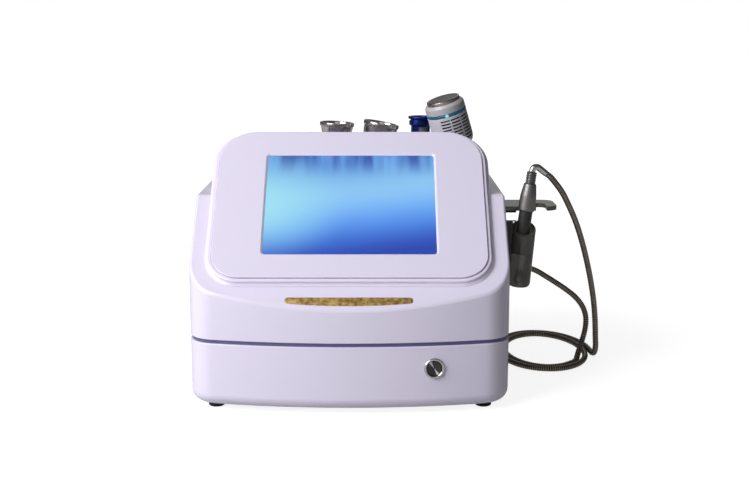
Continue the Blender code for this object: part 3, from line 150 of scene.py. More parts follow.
def buildLatheLines():
    # Machined metal: fine rings across a turned piece's axis, with streaks in colour and gloss
    group, take, give = newGroup(
        "latheLines",
        [("Vector", "NodeSocketVector", (0, 0, 0)), ("Colour", "NodeSocketColor", (0.6, 0.6, 0.6, 1)),
         ("Streak", "NodeSocketFloat", 0.1), ("Roughness", "NodeSocketFloat", 0.25),
         ("Pitch", "NodeSocketFloat", 1500.0), ("Depth", "NodeSocketFloat", 0.15)],
        [("Colour", "NodeSocketColor"), ("Roughness", "NodeSocketFloat"),
         ("Normal", "NodeSocketVector")])
    thin = addNode(group, "ShaderNodeVectorMath", [(0, take["Vector"])], operation="MULTIPLY")
    thin.inputs[1].default_value = (0.02, 0.02, 1)
    lines = addNode(group, "ShaderNodeTexNoise",
                    [("Vector", thin.outputs[0]), ("Scale", take["Pitch"])])
    lines.inputs["Detail"].default_value = 3
    spread = addNode(group, "ShaderNodeMath", [(0, lines.outputs["Fac"]), (1, take["Streak"])],
                     operation="MULTIPLY")
    darker = addNode(group, "ShaderNodeMath", [(1, spread.outputs[0])], operation="SUBTRACT", in_0=1.0)
    toned = addNode(group, "ShaderNodeVectorMath",
                    [(0, take["Colour"]), (3, darker.outputs[0])], operation="SCALE")
    rough = addNode(group, "ShaderNodeMath", [(0, spread.outputs[0]), (1, take["Roughness"])],
                    operation="ADD")
    bump = addNode(group, "ShaderNodeBump",
                   [("Strength", take["Depth"]), ("Height", lines.outputs["Fac"])])
    bump.inputs["Distance"].default_value = 0.0001
    group.links.new(toned.outputs[0], give["Colour"])
    group.links.new(rough.outputs[0], give["Roughness"])
    group.links.new(bump.outputs[0], give["Normal"])
    return group


mouldedSkin = buildMouldedSkin()
latheLines = buildLatheLines()


def newFinish(name):
    made = bpy.data.materials.new(name)
    made.use_nodes = True
    return made, made.node_tree, made.node_tree.nodes["Principled BSDF"]


def placeGroup(tree, group, values):
    node = tree.nodes.new("ShaderNodeGroup")
    node.node_tree = group
    for label, value in values.items():
        node.inputs[label].default_value = value
    return node


def moulded(name, colour, roughness=0.3, cloud=0.03, peel=0.05, peelScale=900.0, dust=0.05,
            coat=0.0, **plain):
    # A moulded plastic, rubber or painted surface
    made, tree, shader = newFinish(name)
    skin = placeGroup(tree, mouldedSkin,
                      {"Colour": (*colour, 1), "Cloud": cloud, "Roughness": roughness,
                       "Peel": peel, "Peel Scale": peelScale, "Dust": dust})
    tree.links.new(skin.outputs["Colour"], shader.inputs["Base Color"])
    tree.links.new(skin.outputs["Roughness"], shader.inputs["Roughness"])
    tree.links.new(skin.outputs["Normal"], shader.inputs["Normal"])
    shader.inputs["Coat Weight"].default_value = coat
    shader.inputs["Coat Roughness"].default_value = 0.08
    for label, value in plain.items():
        shader.inputs[label.replace("_", " ")].default_value = value
    return made


def machined(name, colour, roughness=0.25, streak=0.12, pitch=1500.0, depth=0.15,
             axis=(0, 0, 0), centre=(0, 0, 0), metallic=1.0):
    # A turned metal surface, its rings square to the piece's own axis
    made, tree, shader = newFinish(name)
    place = addNode(tree, "ShaderNodeTexCoord")
    turn = addNode(tree, "ShaderNodeMapping", [("Vector", place.outputs["Object"])],
                   vector_type="TEXTURE")
    turn.inputs["Location"].default_value = centre
    turn.inputs["Rotation"].default_value = axis
    lines = placeGroup(tree, latheLines,
                       {"Colour": (*colour, 1), "Streak": streak, "Roughness": roughness,
                        "Pitch": pitch, "Depth": depth})
    tree.links.new(turn.outputs[0], lines.inputs["Vector"])
    tree.links.new(lines.outputs["Colour"], shader.inputs["Base Color"])
    tree.links.new(lines.outputs["Roughness"], shader.inputs["Roughness"])
    tree.links.new(lines.outputs["Normal"], shader.inputs["Normal"])
    shader.inputs["Metallic"].default_value = metallic
    return made


# Making and placing pieces
def arcPoints(centre, radius, start, end, steps):
    turns = [start + (end - start) * step / steps for step in range(steps + 1)]
    return [(centre[0] + radius * math.cos(turn), centre[1] + radius * math.sin(turn))
            for turn in turns]


def roundedRect(halfWidth, low, high, lowRadius, highRadius, steps=14):
    lowX, highX = halfWidth - lowRadius, halfWidth - highRadius
    return (arcPoints((lowX, low + lowRadius), lowRadius, -quarter, 0, steps)
            + arcPoints((highX, high - highRadius), highRadius, 0, quarter, steps)
            + arcPoints((-highX, high - highRadius), highRadius, quarter, 2 * quarter, steps)
            + arcPoints((-lowX, low + lowRadius), lowRadius, 2 * quarter, 3 * quarter, steps))


def planOutline(inset):
    # The casing seen from above: bowed front, straight sides and rear, four round corners
    frontX = body["halfWidth"] - body["frontCorner"]
    reach = body["bowRadius"] - body["frontCorner"]
    frontY = body["bowRadius"] - math.sqrt(reach ** 2 - frontX ** 2)
    lean = math.asin(frontX / reach)
    rearX = body["halfWidth"] - body["rearCorner"]
    rearY = body["depth"] - body["rearCorner"]
    frontIn, rearIn = body["frontCorner"] - inset, body["rearCorner"] - inset
    steps = body["cornerSteps"]
    bow = arcPoints((0, body["bowRadius"]), body["bowRadius"] - inset, -quarter - lean,
                    -quarter + lean, body["bowSteps"])
    return (bow[1:-1]
            + arcPoints((frontX, frontY), frontIn, -quarter + lean, 0, steps)
            + arcPoints((rearX, rearY), rearIn, 0, quarter, steps)
            + arcPoints((-rearX, rearY), rearIn, quarter, 2 * quarter, steps)
            + arcPoints((-frontX, frontY), frontIn, 2 * quarter, 3 * quarter - lean, steps))


def drawPrism(outline, low, high):
    shape = bmesh.new()
    floor = shape.faces.new([shape.verts.new((x, y, low)) for x, y in outline])
    grown = bmesh.ops.extrude_face_region(shape, geom=[floor])
    raised = [item for item in grown["geom"] if isinstance(item, bmesh.types.BMVert)]
    bmesh.ops.translate(shape, verts=raised, vec=(0, 0, high - low))
    bmesh.ops.recalc_face_normals(shape, faces=shape.faces)
    return shape


def drawLoft(levels):
    # Closed skin through like outlines at rising heights
    shape = bmesh.new()
    rings = [[shape.verts.new((x, y, height)) for x, y in outline] for outline, height in levels]
    loops = [[shape.edges.new((ring[spot - 1], ring[spot])) for spot in range(len(ring))]
             for ring in rings]
    for first, second in zip(loops, loops[1:]):
        bmesh.ops.bridge_loops(shape, edges=first + second)
    bmesh.ops.contextual_create(shape, geom=loops[0])
    bmesh.ops.contextual_create(shape, geom=loops[-1])
    bmesh.ops.recalc_face_normals(shape, faces=shape.faces)
    return shape


def drawBlock(size, centre=(0, 0, 0), round=0.0, steps=3):
    shape = bmesh.new()
    bmesh.ops.create_cube(shape, size=1,
                          matrix=Matrix.Translation(centre) @ Matrix.Diagonal((*size, 1)))
    if round:
        bmesh.ops.bevel(shape, geom=shape.edges[:], offset=round, segments=steps,
                        affect="EDGES", profile=0.5, material=-1)
    return shape


def drawRod(radius, low, high, centre=(0, 0), sides=64):
    shape = bmesh.new()
    bmesh.ops.create_cone(shape, cap_ends=True, segments=sides, radius1=radius, radius2=radius,
                          depth=high - low,
                          matrix=Matrix.Translation((*centre, (low + high) / 2)))
    return shape


def filletLine(corners, closed=False, steps=5):
    # Corners are radius, height and fillet, and each fillet becomes a short curve
    line = []
    last = len(corners) - 1
    for spot, corner in enumerate(corners):
        here = Vector(corner[:2])
        fillet = corner[2] if len(corner) > 2 else 0
        if not fillet or (not closed and spot in (0, last)):
            line.append(tuple(here))
            continue
        back = Vector(corners[spot - 1][:2]) - here
        ahead = Vector(corners[(spot + 1) % len(corners)][:2]) - here
        reach = min(fillet / math.tan(back.angle(ahead) / 2), back.length * 0.49,
                    ahead.length * 0.49)
        start, end = here + back.normalized() * reach, here + ahead.normalized() * reach
        for step in range(steps + 1):
            share = step / steps
            point = start * (1 - share) ** 2 + here * 2 * share * (1 - share) + end * share ** 2
            line.append(tuple(point))
    return line


def drawTurned(corners, sides=96, closed=False, steps=5):
    # Spins a filleted outline of radius and height about z
    shape = bmesh.new()
    line = [shape.verts.new((radius, 0, height))
            for radius, height in filletLine(corners, closed, steps)]
    pairs = list(zip(line, line[1:])) + ([(line[-1], line[0])] if closed else [])
    edges = [shape.edges.new(pair) for pair in pairs]
    bmesh.ops.spin(shape, geom=line + edges, cent=(0, 0, 0), axis=(0, 0, 1),
                   angle=2 * math.pi, steps=sides, use_merge=True)
    bmesh.ops.remove_doubles(shape, verts=shape.verts, dist=0.000005)
    bmesh.ops.recalc_face_normals(shape, faces=shape.faces)
    return shape


def moved(shape, place):
    bmesh.ops.transform(shape, matrix=place, verts=shape.verts)
    return shape


def bevelWhere(shape, wanted, radius, steps, sharpest=30):
    sharp = [edge for edge in shape.edges
             if edge.calc_face_angle(0) > math.radians(sharpest) and wanted(edge)]
    bmesh.ops.bevel(shape, geom=sharp, offset=radius, segments=steps, affect="EDGES",
                    profile=0.5, clamp_overlap=True, material=-1)
    return shape


def atHeight(height):
    return lambda edge: all(abs(vert.co.z - height) < 0.00003 for vert in edge.verts)


def carve(shape, tools, operation="DIFFERENCE"):
    # Cuts or joins whole shapes with Boolean modifiers on objects that are then thrown away
    made = []
    for source in [shape, *tools]:
        bmesh.ops.triangulate(source, faces=source.faces)
        mesh = bpy.data.meshes.new("carving")
        source.to_mesh(mesh)
        source.free()
        item = bpy.data.objects.new("carving", mesh)
        scene.collection.objects.link(item)
        made.append(item)
    target = made[0]
    for tool in made[1:]:
        step = target.modifiers.new("carve", "BOOLEAN")
        step.object = tool
        step.operation = operation
        step.solver = "EXACT"
    depsgraph = bpy.context.evaluated_depsgraph_get()
    result = bmesh.new()
    result.from_mesh(target.evaluated_get(depsgraph).to_mesh())
    target.evaluated_get(depsgraph).to_mesh_clear()
    for item in made:
        mesh = item.data
        bpy.data.objects.remove(item)
        bpy.data.meshes.remove(mesh)
    bmesh.ops.dissolve_limit(result, angle_limit=math.radians(0.05), verts=result.verts,
                             edges=result.edges)
    return result


def addPiece(name, shape, finish, bodyName, stands=(), place=Matrix(), crease=32, flat=False):
    # Puts a finished shape in the scene at its place, riding on its body
    bmesh.ops.transform(shape, matrix=Matrix.Translation(home) @ place, verts=shape.verts)
    mesh = bpy.data.meshes.new(name)
    shape.to_mesh(mesh)
    shape.free()
    mesh.materials.append(finish)
    piece = bpy.data.objects.new(name, mesh)
    scene.collection.objects.link(piece)
    mesh.shade_smooth()
    mesh.set_sharp_from_angle(angle=math.radians(crease))
    if flat:
        weigh = piece.modifiers.new("flatFaces", "WEIGHTED_NORMAL")
        weigh.keep_sharp = True
        weigh.weight = 100
    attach(piece, bodyName)
    if stands:
        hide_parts(*stands)
    return piece


# Finishes
shellWhite = moulded("shellWhite", (0.80, 0.750, 0.925), 0.20, cloud=0.02, peel=0.02, dust=0.02,
                     coat=0.25)
seamViolet = moulded("seamViolet", (0.13, 0.12, 0.28), 0.45)
blackMoulded = moulded("blackMoulded", (0.016, 0.016, 0.018), 0.42, peel=0.15)
footRubber = moulded("footRubber", (0.02, 0.02, 0.02), 0.8, peel=0.3, dust=0.2)
smokePlastic = moulded("smokePlastic", (0.13, 0.122, 0.108), 0.10, peel=0.02, dust=0.0,
                       Transmission_Weight=0.45, IOR=1.49)
barrelGrey = moulded("barrelGrey", (0.17, 0.165, 0.165), 0.38)
capGrey = moulded("capGrey", (0.47, 0.45, 0.48), 0.30)
paintedBracket = moulded("paintedBracket", (0.02, 0.02, 0.022), 0.35, peel=0.2)
plainSteel = machined("plainSteel", (0.62, 0.61, 0.60), 0.2, depth=0.03)
print("finishes made")


# Armoured cable: its lead, its loops on the table and its riser, one ribbed piece
cable = {
    "radius": 0.00325, "ribPitch": 0.0023, "ribDepth": 0.14, "sides": 16, "perRib": 4,
    "turns": 1.86, "centre": (0.2150, 0.2320), "right": 0.0550, "left": 0.0538,
    "back": 0.0870, "front": 0.0800, "draw": 0.0076, "turnPoints": 24,
    "lead": ((0.19728, 0.10376, 0.22282), (0.2023, 0.1051, 0.2189), (0.2083, 0.1090, 0.2120),
             (0.2146, 0.1145, 0.2040), (0.2214, 0.1208, 0.1928), (0.2323, 0.1300, 0.1709),
             (0.2415, 0.1410, 0.1478), (0.2494, 0.1530, 0.1241), (0.2564, 0.1650, 0.0999),
             (0.2622, 0.1760, 0.0753), (0.2663, 0.1860, 0.0506), (0.2690, 0.1955, 0.0290),
             (0.2704, 0.2005, 0.0190), (0.2710, 0.2070, 0.0110), (0.2710, 0.2150, 0.0058),
             (0.2706, 0.2252, 0.00345)),
    "riser": ((0.2434, 0.18392, 0.00335), (0.24595, 0.1877, 0.0036), (0.2482, 0.1926, 0.0048),
              (0.2509, 0.2003, 0.0084), (0.2543, 0.2078, 0.0150), (0.2583, 0.2135, 0.0240),
              (0.2611, 0.2165, 0.0350),
              (0.2612, 0.2168, 0.0470), (0.2570, 0.2150, 0.0590), (0.2487, 0.2120, 0.0700),
              (0.2370, 0.2090, 0.0800), (0.2219, 0.2055, 0.0905), (0.2120, 0.2030, 0.0970),
              (0.2045, 0.2010, 0.1018), (0.1975, 0.2002, 0.1050), (0.1910, 0.2000, 0.1060),
              (0.1843, 0.2000, 0.1060)),
}


def loopPoints():
    points = []
    steps = round(cable["turns"] * cable["turnPoints"])
    for step in range(steps + 1):
        share = cable["turns"] * step / steps
        across, along = math.cos(2 * math.pi * share), math.sin(2 * math.pi * share)
        draw = cable["draw"] * share
        reachX = (cable["right"] if across > 0 else cable["left"]) - draw
        reachY = (cable["back"] if along > 0 else cable["front"]) - draw
        points.append((cable["centre"][0] + reachX * across, cable["centre"][1] + reachY * along,
                       cable["radius"] + 0.0001))
    return points


def evenCurve(route, spacing):
    # Even points on a smooth curve through the route
    knots = [Vector(point) for point in route]
    knots = [2 * knots[0] - knots[1]] + knots + [2 * knots[-1] - knots[-2]]
    fine = []
    for before, first, last, after in zip(knots, knots[1:], knots[2:], knots[3:]):
        for share in (part / 16 for part in range(16)):
            fine.append(((2 * first) + (last - before) * share
                         + (2 * before - 5 * first + 4 * last - after) * share ** 2
                         + (3 * first - before - 3 * last + after) * share ** 3) / 2)
    fine.append(knots[-2])
    points, walked, due = [fine[0]], 0.0, spacing
    for first, second in zip(fine, fine[1:]):
        stride = (second - first).length
        while stride and walked + stride >= due:
            points.append(first.lerp(second, (due - walked) / stride))
            due += spacing
        walked += stride
    points.append(fine[-1])
    return points, walked


def sweepTube(name, points, radii, sides):
    # A curve with a round section along the points, made a mesh
    curve = bpy.data.curves.new(name, "CURVE")
    curve.dimensions = "3D"
    curve.bevel_depth = 1
    curve.bevel_resolution = sides // 4
    curve.use_fill_caps = True
    line = curve.splines.new("POLY")
    line.points.add(len(points) - 1)
    for knot, point, radius in zip(line.points, points, radii):
        knot.co = (*point, 1)
        knot.radius = radius
    holder = bpy.data.objects.new(name, curve)
    scene.collection.objects.link(holder)
    depsgraph = bpy.context.evaluated_depsgraph_get()
    shape = bmesh.new()
    shape.from_mesh(holder.evaluated_get(depsgraph).to_mesh())
    bpy.data.objects.remove(holder)
    bpy.data.curves.remove(curve)
    bmesh.ops.remove_doubles(shape, verts=shape.verts, dist=0.000002)
    bmesh.ops.recalc_face_normals(shape, faces=shape.faces)
    return shape


def cableFinish():
    # Dark ribbed sheath: warm metal on the ribs, lighter and darker in random patches, and painted
    # shade, near black, in the grooves
    made, tree, shader = newFinish("armouredSheath")
    place = addNode(tree, "ShaderNodeTexCoord")
    patches = addNode(tree, "ShaderNodeTexNoise", [("Vector", place.outputs["Object"])])
    patches.inputs["Scale"].default_value = 160
    patches.inputs["Detail"].default_value = 4
    worn = addNode(tree, "ShaderNodeValToRGB", [(0, patches.outputs["Fac"])])
    worn.color_ramp.elements[0].color = (0.22, 0.19, 0.165, 1)
    worn.color_ramp.elements[1].color = (0.62, 0.53, 0.45, 1)
    # Painted shade: the groove depth darkens the colour to near black in every groove
    groove = addNode(tree, "ShaderNodeAttribute", attribute_name="groove")
    ribsAndGrooveShade = addNode(tree, "ShaderNodeMix", [(0, groove.outputs["Fac"]), (6, worn.outputs[0])],
                     data_type="RGBA")
    ribsAndGrooveShade.inputs[7].default_value = (0.012, 0.011, 0.010, 1)
    tree.links.new(ribsAndGrooveShade.outputs[2], shader.inputs["Base Color"])
    shader.inputs["Metallic"].default_value = 0.9
    shader.inputs["Roughness"].default_value = 0.3
    return made


def makeCable():
    route = [*cable["lead"], *loopPoints(), *cable["riser"]]
    spacing = cable["ribPitch"] / cable["perRib"]
    points, length = evenCurve(route, spacing)
    depths = [(1 - math.cos(2 * math.pi * spot / cable["perRib"])) / 2
              for spot in range(len(points))]
    radii = [cable["radius"] * (1 - cable["ribDepth"] * depth) for depth in depths]
    shape = sweepTube("fibreCable", points, radii, cable["sides"])
    moved(shape, Matrix.Translation(home))
    mesh = bpy.data.meshes.new("fibreCable")
    shape.to_mesh(mesh)
    shape.free()
    mesh.materials.append(cableFinish())
    mesh.shade_smooth()
    nearest = KDTree(len(points))
    for spot, point in enumerate(points):
        nearest.insert(point + home, spot)
    nearest.balance()
    # Groove depth at each vertex, which the sheath's finish turns into painted shade in the grooves
    groove = mesh.attributes.new("groove", "FLOAT", "POINT")
    groove.data.foreach_set("value", [depths[nearest.find(vert.co)[1]] for vert in mesh.vertices])
    piece = bpy.data.objects.new("fibreCable", mesh)
    scene.collection.objects.link(piece)
    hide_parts("fibre_lead", "fibre_coil", "fibre_riser")
    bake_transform(piece)
    print("cable length", round(length, 4))


makeCable()
print("cable made")


# Casing
postPlaces = [(side * 0.132, y) for side in (-1, 1) for y in (0.040, 0.270)]
screwRadius = 0.0019
postRadius = 0.005
fan = {"x": 0.090, "z": 0.1169, "bore": 0.0385, "screwReach": 0.0355}
inlet = {"x": -0.070, "z": 0.042, "width": 0.0526, "height": 0.0266}
button = {"x": 0.0815, "z": 0.047, "barrel": 0.008, "ring": 0.010, "ringHeight": 0.0018,
          "cap": 0.0074, "wall": 0.0014, "dish": 0.0012, "dimple": 0.0009, "travel": 0.0015,
          "length": 0.016}
buttonLean = math.asin(button["x"] / body["bowRadius"])
buttonPlace = (Matrix.Translation((button["x"], body["bowRadius"] * (1 - math.cos(buttonLean)),
                                   button["z"]))
               @ Matrix.Rotation(buttonLean, 4, "Z") @ Matrix.Rotation(quarter, 4, "X"))


def slopeWedge(inset, low, high):
    # The casing's block cut by the console slope
    shape = drawPrism(planOutline(inset), low, high)
    normal = Vector((0, -math.sin(body["slope"]), math.cos(body["slope"])))
    point = Vector((0, 0, body["slopeFront"])) - normal * inset
    cut = bmesh.ops.bisect_plane(shape, geom=shape.verts[:] + shape.edges[:] + shape.faces[:],
                                 plane_co=point, plane_no=normal, clear_outer=True)
    rim = [item for item in cut["geom_cut"] if isinstance(item, bmesh.types.BMEdge)]
    bmesh.ops.contextual_create(shape, geom=rim)
    bmesh.ops.recalc_face_normals(shape, faces=shape.faces)
    return shape


def behind(y):
    return drawBlock((1, 0.5, 1), (0, y + 0.25, 0.2))


def makeBaseCasing():
    low, high = body["footTop"], body["seamLow"]
    shape = drawPrism(planOutline(0), low, high)
    bevelWhere(shape, atHeight(low), body["lowRound"], 8)
    bevelWhere(shape, atHeight(high), body["seamRound"], 3)
    inside = drawPrism(planOutline(body["wall"]), low + body["wall"], high + overrun)
    bevelWhere(inside, atHeight(low + body["wall"]), body["lowRound"] - body["wall"], 5)
    shape = carve(shape, [inside])
    posts = [drawRod(postRadius, low + body["wall"] / 2, body["seamHigh"] - body["gap"], spot, 24)
             for spot in postPlaces]
    shape = carve(shape, posts, "UNION")
    holes = [drawRod(screwRadius, -overrun, body["seamHigh"] + overrun, spot, 24)
             for spot in postPlaces]
    holes.append(moved(drawRod(button["barrel"] + body["gap"], -2 * body["wall"], overrun),
                       buttonPlace))
    holes.append(drawBlock((inlet["width"], 0.03, inlet["height"]),
                           (inlet["x"], body["depth"], inlet["z"])))
    shape = carve(shape, holes)
    return addPiece("baseCasing", shape, shellWhite, "root-body", ["base_shell"], flat=True)


def makeSeamBand():
    low, high = body["seamLow"] + body["gap"], body["seamHigh"] - body["gap"]
    shape = carve(drawPrism(planOutline(0.0018), low, high),
                  [drawPrism(planOutline(0.0055), low - overrun, high + overrun)])
    return addPiece("seamBand", shape, seamViolet, "root-body", ["seam_strip"], flat=True)


def makeTopCasing(wellCutters):
    low, high = body["seamHigh"], body["deck"]
    shape = slopeWedge(0, low, high)
    middle = (body["seamHigh"] + body["slopeFront"]) / 2
    bevelWhere(shape, lambda edge: min(vert.co.z for vert in edge.verts) > middle,
               body["slopeRound"], 7)
    bevelWhere(shape, atHeight(low), body["seamRound"], 3)
    inside = slopeWedge(body["wall"], low - overrun, high - body["wall"])
    posts = [drawRod(postRadius, low - 2 * overrun, high + overrun, spot, 24)
             for spot in postPlaces]
    shape = carve(shape, [carve(inside, posts)])
    cuts = [drawRod(screwRadius, low - overrun, low + 0.019, spot, 24) for spot in postPlaces]
    window = moved(drawPrism(screenOutline(0.0126), -0.100, overrun), slopePlace)
    cuts.append(carve(window, [behind(0.177)]))
    cuts.append(moved(drawPrism(plateOutline(body["gap"]), -plate["recess"], overrun), slopePlace))
    rear = (Matrix.Translation((fan["x"], body["depth"], fan["z"]))
            @ Matrix.Rotation(-quarter, 4, "X"))
    cuts.append(moved(drawRod(fan["bore"], -2 * overrun, overrun), rear))
    for x in (-1, 1):
        for y in (-1, 1):
            spot = (x * fan["screwReach"], y * fan["screwReach"])
            cuts.append(moved(drawRod(screwRadius, -2 * overrun, overrun, spot, 24), rear))
    cuts.append(moved(drawRod(0.0058, -2 * body["wall"], overrun),
                      Matrix.Translation((body["halfWidth"], 0.200, 0.106))
                      @ Matrix.Rotation(quarter, 4, "Y")))
    shape = carve(shape, cuts + wellCutters)
    return addPiece("topCasing", shape, shellWhite, "root-body", ["top_shell"], flat=True)


# Display: hood, bezel, glass and gold plate, drawn on the console slope
display = {
    "width": 0.1707, "height": 0.1280, "low": 0.0633, "glassFace": 0.0045,
    "glassThick": 0.0017, "glassMargin": 0.0097, "face": 0.0065, "seat": 0.0025,
    "halfWidth": 0.1348, "bezelLow": 0.0347, "bezelHigh": 0.2216, "lowRadius": 0.028,
    "highRadius": 0.038, "edge": 0.0007, "mouthWide": 0.0019, "mouthDeep": 0.0013,
    "windowRadius": 0.003, "slit": 0.0007, "slitClosed": 0.0003,
}
hood = {"face": 0.0047, "margin": 0.0042, "flare": 0.0028, "flareLow": 0.0005,
        "flareSteps": 9, "wall": 0.0025, "back": 0.182, "depth": 0.110, "edge": 0.0016,
        "backEdge": 0.0015}
plate = {"halfLength": 0.061, "height": 0.0095, "top": 0.0150, "endRadius": 0.0028,
         "thick": 0.001, "recess": 0.0014, "steps": 24}


def screenOutline(margin, radius=display["windowRadius"]):
    return roundedRect(display["width"] / 2 + margin, display["low"] - margin,
                       display["low"] + display["height"] + margin, radius, radius, 6)


def bezelOutline(grow):
    return roundedRect(display["halfWidth"] + grow, display["bezelLow"] - grow,
                       display["bezelHigh"] + grow, display["lowRadius"] + grow,
                       display["highRadius"] + grow)


def plateOutline(grow):
    # Straight along the top, bowed like the casing's front below, with round ends
    radius = plate["endRadius"] + grow
    endX = plate["halfLength"] - plate["endRadius"]
    sag = plate["halfLength"] ** 2 / (2 * body["bowRadius"])
    lowY = plate["top"] - plate["height"]
    outline = []
    for step in range(plate["steps"] + 1):
        x = endX * (2 * step / plate["steps"] - 1)
        outline.append((x, lowY - grow + sag * (x / plate["halfLength"]) ** 2))
    endLow = lowY + sag * (endX / plate["halfLength"]) ** 2 + plate["endRadius"]
    endHigh = plate["top"] - plate["endRadius"]
    outline += arcPoints((endX, endLow), radius, -quarter, 0, 8)[1:]
    outline += arcPoints((endX, endHigh), radius, 0, quarter, 8)
    outline += arcPoints((-endX, endHigh), radius, quarter, 2 * quarter, 8)
    outline += arcPoints((-endX, endLow), radius, 2 * quarter, 3 * quarter, 8)[:-1]
    return outline


def roomAbove(grow):
    # What lies above the console slope and the deck, and before the hood's upright rear
    lift = grow / math.cos(body["slope"])
    run = (body["deck"] - body["slopeFront"]) / math.tan(body["slope"])
    shoulder = run + (grow - lift) / math.tan(body["slope"])
    low = body["slopeFront"] + lift - body["depth"] * math.tan(body["slope"])
    side = [(-body["depth"], low), (shoulder, body["deck"] + grow),
            (hood["back"], body["deck"] + grow), (hood["back"], 2 * body["deck"]),
            (-body["depth"], 2 * body["deck"])]
    shape = drawPrism(side, -0.3, 0.3)
    moved(shape, Matrix(((0, 0, 1, 0), (1, 0, 0, 0), (0, 1, 0, 0), (0, 0, 0, 1))))
    bmesh.ops.recalc_face_normals(shape, faces=shape.faces)
    return shape


def makeHood():
    shape = drawPrism(bezelOutline(hood["margin"]), -hood["depth"], hood["face"])
    bevelWhere(shape, atHeight(hood["face"]), hood["edge"], 5)
    high = hood["face"] - hood["edge"]
    levels = [(bezelOutline(hood["margin"] + hood["flare"]), -body["gap"])]
    for step in range(hood["flareSteps"] + 1):
        share = step / hood["flareSteps"]
        out = hood["margin"] + hood["flare"] * (1 - share) ** 2 - body["gap"] * share
        levels.append((bezelOutline(out), hood["flareLow"] + (high - hood["flareLow"]) * share))
    shape = carve(moved(shape, slopePlace), [moved(drawLoft(levels), slopePlace)], "UNION")
    shape = carve(shape, [roomAbove(body["gap"])], "INTERSECT")
    inside = moved(drawPrism(bezelOutline(hood["margin"] - hood["wall"]),
                             -hood["depth"] - overrun, -body["gap"]), slopePlace)
    inside = carve(inside, [behind(hood["back"] - hood["wall"])])
    seat = drawPrism(bezelOutline(display["slit"]), display["seat"], hood["face"] + overrun)
    window = drawPrism(screenOutline(0.0071), -overrun, display["seat"] + overrun)
    shape = carve(shape, [inside, moved(seat, slopePlace), moved(window, slopePlace)])
    bevelWhere(shape, lambda edge: all(abs(vert.co.y - hood["back"]) < 0.00003
                                       and vert.co.z > body["deck"] + 0.001
                                       for vert in edge.verts), hood["backEdge"], 3)
    return addPiece("displayHood", shape, shellWhite, "root-body", ["screen_hood"], flat=True)


def makeBezel():
    shape = drawPrism(bezelOutline(display["slitClosed"]), display["seat"] + body["gap"],
                      display["face"])
    bevelWhere(shape, atHeight(display["face"]), display["edge"], 4)
    wide, deep = display["mouthWide"], display["mouthDeep"]
    mouth = drawLoft([(screenOutline(0), 0), (screenOutline(0), display["face"] - deep),
                      (screenOutline(2 * wide, display["windowRadius"] + 2 * wide),
                       display["face"] + deep)])
    pocket = drawPrism(screenOutline(display["glassMargin"] + body["gap"]), -overrun,
                       display["glassFace"] + body["gap"])
    shape = carve(shape, [mouth, pocket])
    bevelWhere(shape, lambda edge: all(
        vert.co.z > display["face"] - deep - 0.0001
        and abs(vert.co.x) < display["width"] / 2 + 0.0035
        and display["low"] - 0.0035 < vert.co.y < display["low"] + display["height"] + 0.0035
        for vert in edge.verts), 0.0004, 3)
    return addPiece("displayBezel", shape, shellWhite, "root-body", ["screen_bezel"],
                    slopePlace, flat=True)


picture = {
    "lean": -0.20, "waver": 0.10, "strength": 1.0,
    "stops": ((0.04, (0.026, 0.066, 0.42)), (0.14, (0.040, 0.115, 0.55)),
              (0.28, (0.075, 0.24, 0.78)), (0.45, (0.16, 0.41, 0.92)),
              (0.64, (0.29, 0.60, 0.90)), (0.80, (0.22, 0.50, 0.84)),
              (1.0, (0.13, 0.33, 0.76))),
    "streak": (0.045, 0.11, 0.42), "glow": (0.36, 0.76, 0.90), "glowPlace": (-0.56, 0.50, 0),
}


